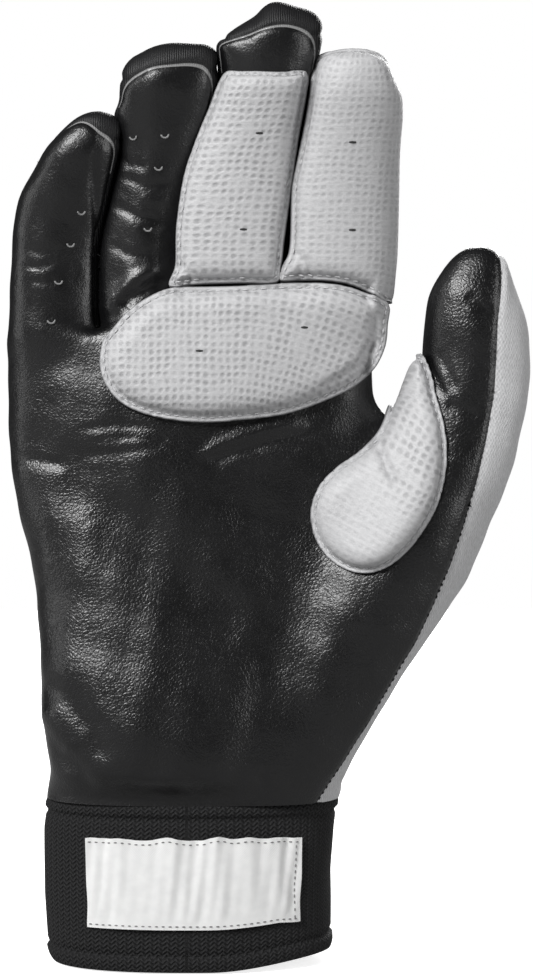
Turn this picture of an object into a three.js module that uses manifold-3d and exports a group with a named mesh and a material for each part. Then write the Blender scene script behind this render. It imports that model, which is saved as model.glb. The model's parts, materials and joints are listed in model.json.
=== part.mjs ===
// A padded inner glove for the catching hand, worn under a ball glove.
// Right hand, in millimetres: the palm faces -Y, the thumb is on +X and the fingers point up +Z.
// The origin is the middle of the wrist opening, in the plane of the cuff's hem.
import * as THREE from 'three';
import { mergeVertices } from 'three/addons/utils/BufferGeometryUtils.js';
import Module from 'manifold-3d';

const radians = THREE.MathUtils.degToRad;
const { lerp, clamp } = THREE.MathUtils;

// Hand
const handBreadth = 98;
const palmHeight = 130.8;
const knuckleFrontDepth = 13;
const knuckleBackDepth = 8;
const heelFrontBulge = 1.5;

// Fingers, each measured along its curled centre line from the knuckle crease
const littleLength = 54;
const ringLength = 66;
const middleLength = 75.5;
const indexLength = 63.2;
const littleDepth = 17;
const ringDepth = 18.4;
const middleDepth = 19.6;
const indexDepth = 19.6;
const littleKnuckleDrop = 8.8;
const ringKnuckleDrop = 2.1;
const indexKnuckleDrop = 0.5;
const fingerCurl = 20;
const fingerGap = 0.6;

// Thumb
const thumbBreadth = 28;
const thumbDepth = 27;
const thumbSetForward = 5;
const thumbTipSetForward = 6;

// Materials' thicknesses
const leatherWall = 1.2;
const knitWall = 1.1;
const coverWall = 1;
const gussetWall = 1.6;

// Shell of the palm: gussets, how far the leather wraps back, and the heel of the thumb
const gussetHeight = 7;
const leatherSetBack = 4;
const heelBlend = 12;
const webThickness = 3;

// Pads: how far they stand proud, the breadth of their rolled rim, and how far they stop short of a hinge
const padHeight = 4.2;
const palmPadHeight = 4.8;
const padRim = 4.2;
const padHingeInset = 1.3;
const palmPadLift = 0.25;

// Cuff
const cuffHeight = 42.2;
const cuffBreadth = 75.6;
const cuffDepth = 40;
const cuffWall = 2.2;
const hemHeight = 4;
const weltHeight = 3.4;
const foldThickness = 0.5;
const labelWidth = 54;
const labelHeight = 24.4;
const labelThickness = 0.6;
const labelLift = 8.4;
const slitWidth = 3;
const slitSetOver = 11;
const slitRise = 16;

// Wrist closure on the back of the cuff
const tabLength = 47;
const tabHeight = 27;
const tabThickness = 1.8;
const fastenerThickness = 1.2;
const fastenerBorder = 1.6;
const fastenerLength = 30;
const tabRootLength = 8;
const tabHingeSetOver = 17;
const tabTipRounding = 7;

// Clearances and overruns
const pieceGap = 0.4;
const hingeGap = 0.5;
const padSeatGap = 0.5;
const foamGap = 0.8;
const overrun = 30;
const weldDistance = 1e-4;

// Shape of the sections, as powers of a superellipse
const palmRoundness = 2.6;
const edgeSharpness = 8;
const digitRoundness = 2.2;
const cuffRoundness = 2.3;

// Seams round a digit, from its side towards the palm
const sideSeam = radians(24);
const backSeam = radians(32);
const foldSeam = radians(12);
const thumbKnitSeam = radians(67);
const thumbOuterSeam = radians(195);

// The stretch round a digit that its pad covers, and the share of a finger's length at which the pad ends
const middlePadFrom = radians(35);
const middlePadTo = radians(152);
const indexPadFrom = radians(-8);
const indexPadTo = radians(144);
const thumbPadFrom = radians(112);
const thumbPadTo = radians(167);
const middlePadEndShare = 0.74;
const indexPadEndShare = 0.95;

// Levels that follow from the sizes above
const palmBase = cuffHeight + pieceGap;
const knuckleHeight = palmBase + palmHeight;

// Palm edges: share of palm height, then left and right edge as shares of hand breadth
const palmEdgeShares = [
  [0, -0.374, 0.389],
  [0.1, -0.379, 0.437],
  [0.252, -0.388, 0.49],
  [0.452, -0.421, 0.525],
  [0.576, -0.453, 0.55],
  [0.655, -0.474, 0.553],
  [0.705, -0.479, 0.522],
  [0.735, -0.479, 0.502],
  [0.803, -0.479, 0.486],
  [0.892, -0.483, 0.484],
  [1, -0.478, 0.5],
];

// Where the palm's rows of points lie, as shares of its height
const webTopShare = 0.725;
const heelRowShares = [0, 0.08, 0.17, 0.28, 0.4, 0.53, 0.66, 0.77, 0.86, 0.94, 1];
const knuckleRowShares = [0, 0.2, 0.48, 0.76, 1];

// Palm depth: share of palm height, then how far front and back have gone from wrist to knuckle depth
const palmDepthShares = [
  [0, 0, 0],
  [0.25, 0.12, 0.12],
  [0.5, 0.3, 0.3],
  [0.8, 0.62, 0.68],
  [1, 1, 1],
];

// Boundaries between the fingers: share of the middle finger's length above the knuckles, then five edges
// as shares of hand breadth, from the outer edge of the little finger to the outer edge of the index
const fingerEdgeShares = [
  [-0.15, -0.483, -0.243, -0.029, 0.263, 0.5],
  [0, -0.478, -0.243, -0.029, 0.263, 0.5],
  [0.14, -0.466, -0.242, -0.024, 0.259, 0.508],
  [0.309, -0.442, -0.215, 0, 0.268, 0.513],
  [0.484, -0.379, -0.189, 0.029, 0.289, 0.517],
  [0.624, -0.326, -0.195, 0.062, 0.308, 0.529],
  [0.765, -0.326, -0.203, 0.082, 0.332, 0.537],
  [1, -0.326, -0.203, 0.084, 0.337, 0.537],
];

// Thumb centre line from the wrist to the tip: shares of hand breadth outward and of palm height upward
const thumbPathShares = [
  [0.289, 0.093],
  [0.395, 0.211],
  [0.487, 0.349],
  [0.566, 0.467],
  [0.637, 0.576],
  [0.697, 0.684],
  [0.737, 0.803],
  [0.753, 0.901],
  [0.755, 0.98],
  [0.758, 1.083],
];

// Thumb girth: share of the centre line, then breadth and depth as shares of thumb breadth and depth
const thumbGirthShares = [
  [0, 0.72, 1.1],
  [0.133, 1, 1.22],
  [0.277, 1.14, 1.26],
  [0.401, 1.1, 1.24],
  [0.514, 1.02, 1.14],
  [0.624, 0.99, 1],
  [0.738, 0.97, 0.9],
  [0.83, 0.97, 0.83],
  [1, 0.94, 0.74],
];
const thumbHingeShare = 0.603;
const thumbMiddleHingeShare = 0.81;
const thumbCapShare = 0.95;
const thumbDomeShare = 0.84;

// Finger depth: share of the length, then share of the finger's depth
const fingerDepthShares = [
  [0, 1],
  [0.3, 0.98],
  [0.6, 0.95],
  [1, 0.9],
];
const fingerDomeShare = 0.8;
const fingerCapShare = 0.87;
const fingerMiddleHingeShare = 0.46;
const tipRowShares = [0, 0.4, 0.72, 0.92, 1];
const tipNarrowingShare = 0.6;
const thumbCapGirthShare = 0.8;
const gussetBackShare = 0.9;
const tabTipShare = 0.95;

// The seam between leather and knit along the thumb side, as shares of hand breadth and palm height
const thumbSeamShares = [
  [0.83, 0.72],
  [0.768, 0.69],
  [0.742, 0.606],
  [0.705, 0.513],
  [0.661, 0.42],
  [0.6, 0.321],
  [0.539, 0.243],
  [0.479, 0.166],
  [0.411, 0.083],
  [0.359, 0.024],
  [0.34, -0.05],
];

// Kidney-shaped palm pad: turn round the palm from its thumb edge as a share of half a turn, then share of
// palm height
const palmPadShares = [
  [0.546, 0.972],
  [0.6, 0.952],
  [0.64, 0.9],
  [0.655, 0.85],
  [0.635, 0.8],
  [0.57, 0.757],
  [0.49, 0.738],
  [0.36, 0.742],
  [0.24, 0.764],
  [0.09, 0.815],
  [0.0, 0.86],
  [-0.02, 0.905],
  [0.03, 0.955],
  [0.17, 0.976],
  [0.3, 0.98],
  [0.43, 0.978],
];

// Lower lobe of the thumb pad: shares of hand breadth and of palm height
const thenarPadShares = [
  [0.5, 0.69],
  [0.437, 0.677],
  [0.355, 0.622],
  [0.316, 0.56],
  [0.335, 0.497],
  [0.395, 0.455],
  [0.47, 0.447],
  [0.561, 0.485],
  [0.625, 0.56],
  [0.655, 0.625],
  [0.655, 0.652],
];

// Grid lines of pads and rings of round pads, as shares
const padLineShares = [0, 0.05, 0.11, 0.22, 0.4, 0.6, 0.78, 0.89, 0.95, 1];
const padFoamLineShares = padLineShares.slice(2, -2);
const padRingShares = [1, 0.94, 0.86, 0.74, 0.54, 0.28, 0];
const padFoamRingShares = padRingShares.slice(2);

// Colours and finishes
function finish(color, roughness) {
  return new THREE.MeshStandardMaterial({ color, roughness, metalness: 0 });
}
const blackLeather = finish(0x1b1a1b, 0.42);
const paleLeather = finish(0xc9c9cb, 0.6);
const greyKnit = finish(0xb4b6ba, 0.85);
const blackKnit = finish(0x1a191b, 0.9);
const blackFabric = finish(0x201f21, 0.75);
const foam = finish(0xd8cfa8, 0.95);
const whiteLabel = finish(0xe9e8e6, 0.8);
const hookTape = finish(0x151515, 0.8);
const loopTape = finish(0x222224, 0.95);

// A smooth curve through the rows of a table, read at one place
function lookUp(table, at, column = 1) {
  const last = table.length - 1;
  const place = clamp(at, table[0][0], table[last][0]);
  let row = 0;
  while (row < last - 1 && table[row + 1][0] < place) row += 1;
  const slope = (low, high) => (table[high][column] - table[low][column]) / (table[high][0] - table[low][0]);
  const span = table[row + 1][0] - table[row][0];
  const startSlope = slope(Math.max(row - 1, 0), row + 1) * span;
  const endSlope = slope(row, Math.min(row + 2, last)) * span;
  const t = (place - table[row][0]) / span;
  const start = table[row][column];
  const end = table[row + 1][column];
  const cubic = 2 * start - 2 * end + startSlope + endSlope;
  const square = -3 * start + 3 * end - 2 * startSlope - endSlope;
  return ((cubic * t + square) * t + startSlope) * t + start;
}

// Evenly spaced values from start to end
function spread(start, end, steps) {
  return Array.from({ length: steps + 1 }, (_, step) => lerp(start, end, step / steps));
}

// The two shares of a superellipse's half axes at one angle
function superellipse(angle, power) {
  const across = Math.cos(angle);
  const forward = Math.sin(angle);
  return [
    Math.sign(across) * Math.abs(across) ** (2 / power),
    Math.sign(forward) * Math.abs(forward) ** (2 / power),
  ];
}

// A closed body between an outer and an inner grid of points, holding only the cells that keep allows
function gridSolid(rowCount, columnCount, outerPoint, innerPoint, keep, closed) {
  const points = [];
  const faces = [];
  for (const pointAt of [outerPoint, innerPoint]) {
    for (let row = 0; row < rowCount; row += 1) {
      for (let column = 0; column < columnCount; column += 1) points.push(...pointAt(row, column).toArray());
    }
  }
  const cellColumns = closed ? columnCount : columnCount - 1;
  const index = (layer, row, column) => (layer * rowCount + row) * columnCount + (column % columnCount);
  const kept = (row, column) => {
    if (row < 0 || row >= rowCount - 1) return false;
    if (!closed && (column < 0 || column >= cellColumns)) return false;
    return keep(row, (column + cellColumns) % cellColumns);
  };
  const quad = (a, b, c, d) => faces.push(a, b, c, a, c, d);
  for (let row = 0; row < rowCount - 1; row += 1) {
    for (let column = 0; column < cellColumns; column += 1) {
      if (!kept(row, column)) continue;
      const next = column + 1;
      const corner = (layer) => [
        index(layer, row, column),
        index(layer, row, next),
        index(layer, row + 1, next),
        index(layer, row + 1, column),
      ];
      const outer = corner(0);
      const inner = corner(1);
      quad(outer[0], outer[1], outer[2], outer[3]);
      quad(inner[3], inner[2], inner[1], inner[0]);
      if (!kept(row - 1, column)) quad(outer[1], outer[0], inner[0], inner[1]);
      if (!kept(row, column + 1)) quad(outer[2], outer[1], inner[1], inner[2]);
      if (!kept(row + 1, column)) quad(outer[3], outer[2], inner[2], inner[3]);
      if (!kept(row, column - 1)) quad(outer[0], outer[3], inner[3], inner[0]);
    }
  }
  return facingOut(points, faces);
}

// Drops faces that have shrunk to nothing and turns the body so that its faces point out
function facingOut(points, faces) {
  const loose = new THREE.BufferGeometry();
  loose.setAttribute('position', new THREE.Float32BufferAttribute(points, 3));
  loose.setIndex(faces);
  const merged = mergeVertices(loose, weldDistance);
  const indices = [];
  for (let face = 0; face < merged.index.count; face += 3) {
    const [a, b, c] = [0, 1, 2].map((corner) => merged.index.getX(face + corner));
    if (a !== b && b !== c && c !== a) indices.push(a, b, c);
  }
  const corner = (vertex) => new THREE.Vector3().fromBufferAttribute(merged.attributes.position, vertex);
  let volume = 0;
  for (let face = 0; face < indices.length; face += 3) {
    const [a, b, c] = indices.slice(face, face + 3).map(corner);
    volume += a.dot(b.cross(c));
  }
  merged.setIndex(volume < 0 ? indices.reverse() : indices);
  merged.deleteAttribute('normal');
  return merged;
}

// Palm: its edges meet the cuff's at the wrist
function palmEdge(height, column) {
  const share = (height - palmBase) / palmHeight;
  const side = column === 1 ? -1 : 1;
  const wristEdge = (side * cuffBreadth) / 2 - palmEdgeShares[0][column] * handBreadth;
  const nearWrist = (1 - clamp(share, 0, 1)) ** 3;
  return lookUp(palmEdgeShares, share, column) * handBreadth + wristEdge * nearWrist;
}
function palmDepthAt(height, column) {
  const share = (height - palmBase) / palmHeight;
  const knuckleDepth = column === 1 ? knuckleFrontDepth : knuckleBackDepth;
  const bulge = column === 1 ? heelFrontBulge * Math.sin(Math.PI * clamp(share, 0, 1)) : 0;
  return lerp(cuffDepth / 2, knuckleDepth, lookUp(palmDepthShares, share, column)) + bulge;
}
function palmPoint(height, angle) {
  const left = palmEdge(height, 1);
  const right = palmEdge(height, 2);
  const [across, forward] = superellipse(angle, palmRoundness);
  const depth = palmDepthAt(height, forward > 0 ? 1 : 2);
  return new THREE.Vector3((left + right) / 2 + (across * (right - left)) / 2, -forward * depth, height);
}
function palmReach(x, height, side) {
  const left = palmEdge(height, 1);
  const right = palmEdge(height, 2);
  const offset = Math.abs((2 * x - left - right) / (right - left));
  const depth = palmDepthAt(height, side > 0 ? 1 : 2);
  const round = Math.max(0, 1 - offset ** palmRoundness) ** (1 / palmRoundness);
  return depth * round - Math.max(0, offset - 1) * handBreadth;
}

// Thumb, from inside the heel of the hand to the tip
const thumbPath = new THREE.CatmullRomCurve3(
  thumbPathShares.map(
    ([outward, up]) => new THREE.Vector3(outward * handBreadth, 0, palmBase + up * palmHeight),
  ),
);
thumbPath.arcLengthDivisions = 400;
const thumbLineLength = thumbPath.getLength();
function domeShare(along, start) {
  const past = clamp((along - start) / (1 - start), 0, 1);
  return Math.sqrt(1 - past * past);
}
function thumbFrame(along) {
  const place = clamp(along, 0, 1);
  const centre = thumbPath.getPointAt(place);
  const tangent = thumbPath.getTangentAt(place);
  const forward = lerp(0, thumbSetForward, clamp(place / thumbHingeShare, 0, 1));
  const past = clamp((place - thumbHingeShare) / (1 - thumbHingeShare), 0, 1);
  centre.y = -(forward + thumbTipSetForward * past * past);
  const across = new THREE.Vector3(tangent.z, 0, -tangent.x);
  return { centre, across, tangent };
}
function thumbGirth(along) {
  const dome = domeShare(along, thumbDomeShare);
  return [
    ((lookUp(thumbGirthShares, along, 1) * thumbBreadth) / 2) * dome,
    ((lookUp(thumbGirthShares, along, 2) * thumbDepth) / 2) * dome,
  ];
}
function thumbPoint(along, angle) {
  const { centre, across } = thumbFrame(along);
  const [halfBreadth, halfDepth] = thumbGirth(along);
  const [sideways, forward] = superellipse(angle, digitRoundness);
  const front = new THREE.Vector3(0, -1, 0);
  return centre.addScaledVector(across, sideways * halfBreadth).addScaledVector(front, forward * halfDepth);
}

// Places along the thumb with their outer edge, and that edge at one height
function thumbStation(along) {
  const frame = thumbFrame(along);
  const [halfBreadth, halfDepth] = thumbGirth(along);
  const edge = frame.centre.clone().addScaledVector(frame.across, halfBreadth);
  return { ...frame, along, halfBreadth, halfDepth, edge };
}
const thumbStations = spread(0, 1, 60).map(thumbStation);
function thumbEdgeAt(height) {
  const next = thumbStations.findIndex(({ edge }) => edge.z > height);
  if (next < 1) return -handBreadth;
  const [low, high] = [thumbStations[next - 1].edge, thumbStations[next].edge];
  return lerp(low.x, high.x, (height - low.z) / (high.z - low.z));
}

// How far the thumb's heel reaches to the front or the back at one place, or nothing beside it
function thumbDepthAt(x, height, side) {
  let nearest = Infinity;
  let found = thumbStations[0];
  for (const station of thumbStations) {
    const away = Math.hypot(x - station.centre.x, height - station.centre.z);
    if (away < nearest) {
      nearest = away;
      found = station;
    }
  }
  const past = (x - found.centre.x) * found.tangent.x + (height - found.centre.z) * found.tangent.z;
  found = thumbStation(clamp(found.along + past / thumbLineLength, 0, 1));
  const away = new THREE.Vector3(x - found.centre.x, 0, height - found.centre.z);
  const offset = Math.abs(away.dot(found.across)) / found.halfBreadth;
  const outwards = side > 0 ? -found.centre.y : found.centre.y;
  const round = Math.max(0, 1 - offset ** digitRoundness) ** (1 / digitRoundness);
  return outwards + found.halfDepth * round - Math.max(0, offset - 1) * handBreadth;
}

// The depth of the whole hand at one place, the heel of the thumb running smoothly into the palm
function handDepthAt(x, height, side, aboveWeb = false) {
  const palm = palmReach(x, height, side);
  if (aboveWeb) return Math.max(palm, 0);
  const thumb = thumbDepthAt(x, height, side);
  const share = clamp(0.5 + (palm - thumb) / (2 * heelBlend), 0, 1);
  const depth = lerp(thumb, palm, share) + heelBlend * share * (1 - share);
  const web = side > 0 ? webThickness : 0;
  return Math.max(depth, web);
}

// The bed of a pad on the front of the hand, which bridges the hollow beside the heel of the thumb
function padBedPoint(x, height) {
  const span = 2 * padRim;
  const beside = (handDepthAt(x - span, height, 1) + handDepthAt(x + span, height, 1)) / 2;
  return new THREE.Vector3(x, -Math.max(handDepthAt(x, height, 1), beside), height);
}
function handPoint(height, angle, inset, aboveWeb) {
  const left = palmEdge(height, 1);
  const right = aboveWeb ? palmEdge(height, 2) : Math.max(palmEdge(height, 2), thumbEdgeAt(height));
  const place = (left + right) / 2 + (Math.cos(angle) * (right - left)) / 2;
  const x = clamp(place, left + inset, right - inset);
  const front = handDepthAt(x, height, 1, aboveWeb) - inset;
  const back = handDepthAt(x, height, -1, aboveWeb) - inset;
  const closing = Math.min(1, Math.abs(Math.sin(angle)) * edgeSharpness);
  const middle = (back - front) / 2;
  const y = Math.sin(angle) > 0 ? -front : back;
  return new THREE.Vector3(x, lerp(middle, y, closing), height);
}

// Fingers: edge is the column of the finger's outer edge, and its inner edge is the next column
const fingers = [
  { name: 'little', edge: 1, drop: littleKnuckleDrop, length: littleLength, depth: littleDepth },
  { name: 'ring', edge: 2, drop: ringKnuckleDrop, length: ringLength, depth: ringDepth },
  {
    name: 'middle',
    edge: 3,
    drop: 0,
    length: middleLength,
    depth: middleDepth,
    padAngles: [middlePadFrom, middlePadTo],
    padEnd: middlePadEndShare,
  },
  {
    name: 'index',
    edge: 4,
    drop: indexKnuckleDrop,
    length: indexLength,
    depth: indexDepth,
    padAngles: [indexPadFrom, indexPadTo],
    padEnd: indexPadEndShare,
  },
];
function fingerEdge(height, column) {
  return lookUp(fingerEdgeShares, (height - knuckleHeight) / middleLength, column) * handBreadth;
}
function fingerFrame(finger, along) {
  const turn = radians(fingerCurl) * along;
  const bendRadius = finger.length / radians(fingerCurl);
  const height = knuckleHeight - finger.drop + bendRadius * Math.sin(turn);
  const left = fingerEdge(height, finger.edge) + fingerGap / 2;
  const right = fingerEdge(height, finger.edge + 1) - fingerGap / 2;
  const rootY = finger.depth / 2 - knuckleFrontDepth;
  const dome = domeShare(along, fingerDomeShare);
  return {
    centre: new THREE.Vector3((left + right) / 2, rootY - bendRadius * (1 - Math.cos(turn)), height),
    front: new THREE.Vector3(0, -Math.cos(turn), -Math.sin(turn)),
    tangent: new THREE.Vector3(0, -Math.sin(turn), Math.cos(turn)),
    halfBreadth: ((right - left) / 2) * dome,
    halfDepth: ((lookUp(fingerDepthShares, along) * finger.depth) / 2) * dome,
  };
}
function fingerPoint(finger, along, angle) {
  const { centre, front, halfBreadth, halfDepth } = fingerFrame(finger, along);
  const [sideways, forward] = superellipse(angle, digitRoundness);
  centre.x += sideways * halfBreadth;
  return centre.addScaledVector(front, forward * halfDepth);
}

// A point lifted off a surface given by two parameters, away from a point that lies inside the body
function lifted(pointAt, first, second, steps, lift, inside) {
  const point = pointAt(first, second);
  const alongFirst = pointAt(first + steps[0], second).sub(pointAt(first - steps[0], second));
  const alongSecond = pointAt(first, second + steps[1]).sub(pointAt(first, second - steps[1]));
  const normal = alongFirst.cross(alongSecond).normalize();
  if (normal.dot(point.clone().sub(inside)) < 0) normal.negate();
  return point.addScaledVector(normal, lift);
}

// A digit is a skin given along it and round it, with its frame at each place along
const shareStep = 1e-3;
function digitLifted(digit, along, angle, lift) {
  const frame = digit.frame(along);
  if (along > 1 - shareStep) return frame.centre.addScaledVector(frame.tangent, lift);
  const place = Math.max(along, shareStep);
  const point = lifted(digit.skin, place, angle, [shareStep, shareStep], lift, frame.centre);
  return along === place ? point : point.addScaledVector(frame.tangent, (along - place) * digit.length);
}

// Scene graph
const glove = new THREE.Group();
function addMesh(name, geometry, material) {
  geometry.computeVertexNormals();
  const mesh = new THREE.Mesh(geometry, material.clone());
  mesh.name = name;
  glove.add(mesh);
}

// Panels of one digit: angles are measured from its thumb side towards the palm side.
// Each panel runs from one seam to the next, and the panel named by cap also covers the tip.
function addDigitPanels(digit) {
  const halfSeam = pieceGap / digit.radius / 2;
  const halfRow = pieceGap / digit.length / 2;
  const halfHinge = hingeGap / digit.length / 2;
  const angles = [];
  const sectors = digit.seams.map((seam, place) => {
    const next = place === digit.seams.length - 1 ? digit.seams[0] + 2 * Math.PI : digit.seams[place + 1];
    const first = angles.length;
    angles.push(...spread(seam + halfSeam, next - halfSeam, digit.panels[place].steps));
    return [first, angles.length - 1];
  });
  const segments = [
    { part: 'proximal', start: digit.root + halfHinge, end: digit.hinge - halfHinge, steps: 3 },
    { part: 'distal', start: digit.hinge + halfHinge, end: digit.capShare - halfRow, steps: 4 },
  ];
  for (const segment of segments) {
    const rows = spread(segment.start, segment.end, segment.steps);
    const seamRow = segment.steps;
    if (segment.part === 'distal') {
      rows.push(...tipRowShares.map((share) => lerp(digit.capShare + halfRow, 1, share)));
    }
    const grid = (lift) => (row, column) => digitLifted(digit, rows[row], angles[column], lift);
    digit.panels.forEach((panel, place) => {
      const [first, last] = sectors[place];
      const inSector = (column) => column >= first && column < last;
      const keep = (row, column) => {
        if (row < seamRow) return inSector(column);
        if (panel.part !== digit.cap) return false;
        return row > seamRow || inSector(column);
      };
      const solid = gridSolid(rows.length, angles.length, grid(0), grid(-panel.wall), keep, true);
      addMesh(`${digit.name}_${segment.part}_${panel.part}`, solid, panel.material);
    });
  }
}

// Solids for joining and cutting
const wasm = await Module();
wasm.setup();
function toSolid(geometry) {
  const bare = geometry.clone();
  bare.deleteAttribute('normal');
  bare.deleteAttribute('uv');
  const merged = mergeVertices(bare, weldDistance);
  const vertProperties = new Float32Array(merged.attributes.position.array);
  const triVerts = new Uint32Array(merged.index.array);
  return new wasm.Manifold(new wasm.Mesh({ numProp: 3, vertProperties, triVerts }));
}
function toGeometry(solid) {
  const largest = solid.decompose().reduce((best, next) => (next.volume() > best.volume() ? next : best));
  const { vertProperties, triVerts } = largest.getMesh();
  const geometry = new THREE.BufferGeometry();
  geometry.setAttribute('position', new THREE.BufferAttribute(vertProperties, 3));
  geometry.setIndex(new THREE.BufferAttribute(triVerts, 1));
  return geometry;
}

// A closed loft through rows of points, with flat ends
function loftSolid(rows) {
  const points = rows.flat().flatMap((point) => point.toArray());
  const count = rows[0].length;
  const faces = [];
  for (let row = 0; row < rows.length - 1; row += 1) {
    for (let column = 0; column < count; column += 1) {
      const next = (column + 1) % count;
      const [a, b] = [row * count + column, row * count + next];
      faces.push(a, b, b + count, a, b + count, a + count);
    }
  }
  const lastRow = (rows.length - 1) * count;
  for (let column = 1; column < count - 1; column += 1) {
    faces.push(0, column + 1, column);
    faces.push(lastRow, lastRow + column, lastRow + column + 1);
  }
  return toSolid(facingOut(points, faces));
}
function boxSolid(low, high) {
  const box = new THREE.BoxGeometry(high[0] - low[0], high[1] - low[1], high[2] - low[2]);
  box.translate((high[0] + low[0]) / 2, (high[1] + low[1]) / 2, (high[2] + low[2]) / 2);
  return toSolid(box);
}

// How far a pad has risen from its edge, from 0 to 1, at a distance from that edge
function padRise(distance) {
  return Math.sin((Math.PI / 2) * clamp(distance / padRim, 0, 1));
}

// A foam pad and the leather cover sewn down round it, from one skin point function of line, place and lift.
// Where the pad lies on a hollow of the hand, seat is the solid that its underside keeps clear of.
function addPad(name, lines, foamLines, pointAt, crownAt, closed, seat) {
  const allow = () => true;
  const build = (across, up, low, high) => {
    const layer = (lift) => (row, column) => {
      return pointAt(up[row], across[column], lift(up[row], across[column]));
    };
    const pad = gridSolid(up.length, across.length, layer(high), layer(low), allow, closed);
    return seat ? toGeometry(toSolid(pad).subtract(seat)) : pad;
  };
  const coverLow = (row, column) => padSeatGap + crownAt(row, column);
  const coverHigh = (row, column) => coverLow(row, column) + coverWall;
  const foamHigh = (row, column) => coverLow(row, column) - foamGap;
  const foamLow = () => padSeatGap;
  addMesh(`${name}_cover`, build(lines.across, lines.up, coverLow, coverHigh), paleLeather);
  addMesh(`${name}_foam`, build(foamLines.across, foamLines.up, foamLow, foamHigh), foam);
}

// A pad along a digit, rounded in plan at the corners of any end that is not at a hinge
function addDigitPad(digit, name, alongRange, angleRange, roundedTip) {
  const length = (alongRange[1] - alongRange[0]) * digit.length;
  const width = (angleRange[1] - angleRange[0]) * digit.radius;
  const narrowing = (up) => {
    if (!roundedTip) return 1;
    const past = clamp((up * length - length + digit.radius) / digit.radius, 0, 1);
    return Math.sqrt(1 - tipNarrowingShare * past * past);
  };
  const middleAngle = (angleRange[0] + angleRange[1]) / 2;
  const pointAt = (up, across, lift) => {
    const angle = lerp(middleAngle, lerp(angleRange[0], angleRange[1], across), narrowing(up));
    return digitLifted(digit, lerp(alongRange[0], alongRange[1], up), angle, lift);
  };
  const crownAt = (up, across) => {
    const ends = padRise(Math.min(up, 1 - up) * length);
    const sides = padRise(Math.min(across, 1 - across) * width * narrowing(up));
    return padHeight * ends * sides;
  };
  const lines = { across: padLineShares, up: padLineShares };
  const foamLines = { across: padFoamLineShares, up: padFoamLineShares };
  addPad(name, lines, foamLines, pointAt, crownAt, false, null);
}

// A pad of free outline: rings shrink from its edge to its middle
function addRoundPad(name, outlineShares, height, pointAt, steps, seat) {
  const outline = new THREE.CatmullRomCurve3(
    outlineShares.map(([first, second]) => new THREE.Vector3(first, second, 0)),
    true,
  ).getSpacedPoints(steps).slice(0, steps);
  const middle = new THREE.Vector3();
  for (const point of outline) middle.addScaledVector(point, 1 / steps);
  const place = (ring, step) => middle.clone().lerp(outline[step], ring);
  const surface = (ring, step, lift) => {
    const { x, y } = place(ring, step);
    return pointAt(x, y, lift);
  };
  const reach = (step) => surface(1, step, 0).distanceTo(surface(0, step, 0));
  const crownAt = (ring, step) => height * padRise((1 - ring) * reach(step));
  const around = Array.from({ length: steps }, (_, step) => step);
  const lines = { across: around, up: padRingShares };
  const foamLines = { across: around, up: padFoamRingShares };
  addPad(name, lines, foamLines, surface, crownAt, true, seat);
}

// Finger panels: a fork panel closes each side that faces a neighbouring finger
function fingerSeams(hasThumbSideFork, hasOuterFork) {
  const thumbSide = hasThumbSideFork ? [-backSeam, sideSeam] : [-foldSeam];
  const outerSide = hasOuterFork ? [Math.PI - sideSeam, Math.PI + backSeam] : [Math.PI + foldSeam];
  return [...thumbSide, ...outerSide];
}
function fingerPanels(hasThumbSideFork, hasOuterFork) {
  const fork = { wall: knitWall, material: blackFabric, steps: 2 };
  const panels = [{ part: 'front', wall: leatherWall, material: blackLeather, steps: 7 }];
  if (hasThumbSideFork) panels.unshift({ ...fork, part: 'fork_thumb_side' });
  if (hasOuterFork) panels.push({ ...fork, part: 'fork_outer_side' });
  panels.push({ part: 'back', wall: knitWall, material: blackFabric, steps: 7 });
  return panels;
}
for (const finger of fingers) {
  const hasThumbSideFork = finger.edge < fingers.length;
  const hasOuterFork = finger.edge > 1;
  const digit = {
    name: finger.name,
    skin: (along, angle) => fingerPoint(finger, along, angle),
    frame: (along) => fingerFrame(finger, along),
    seams: fingerSeams(hasThumbSideFork, hasOuterFork),
    panels: fingerPanels(hasThumbSideFork, hasOuterFork),
    cap: 'back',
    capShare: fingerCapShare,
    radius: finger.depth / 2,
    length: finger.length,
    root: 0,
    hinge: fingerMiddleHingeShare,
  };
  addDigitPanels(digit);
  if (!finger.padEnd) continue;
  const inset = padHingeInset / finger.length;
  const { name, padAngles, padEnd } = finger;
  addDigitPad(digit, `${name}_proximal_pad`, [inset, digit.hinge - inset], padAngles, false);
  addDigitPad(digit, `${name}_distal_pad`, [digit.hinge + inset, padEnd], padAngles, true);
}

// Thumb
const thumb = {
  name: 'thumb',
  skin: (along, angle) => thumbPoint(along, angle),
  frame: thumbFrame,
  seams: [thumbKnitSeam, thumbOuterSeam],
  panels: [
    { part: 'front', wall: leatherWall, material: blackLeather, steps: 8 },
    { part: 'back', wall: knitWall, material: greyKnit, steps: 12 },
  ],
  cap: 'front',
  capShare: thumbCapShare,
  radius: (thumbDepth * thumbCapGirthShare) / 2,
  length: thumbLineLength,
  root: thumbHingeShare,
  hinge: thumbMiddleHingeShare,
};
addDigitPanels(thumb);
const thumbPadInset = padHingeInset / thumbLineLength;
const thumbPadAlong = [thumbHingeShare + thumbPadInset, thumbMiddleHingeShare - thumbPadInset];
addDigitPad(thumb, 'thumb_pad', thumbPadAlong, [thumbPadFrom, thumbPadTo], true);

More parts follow.
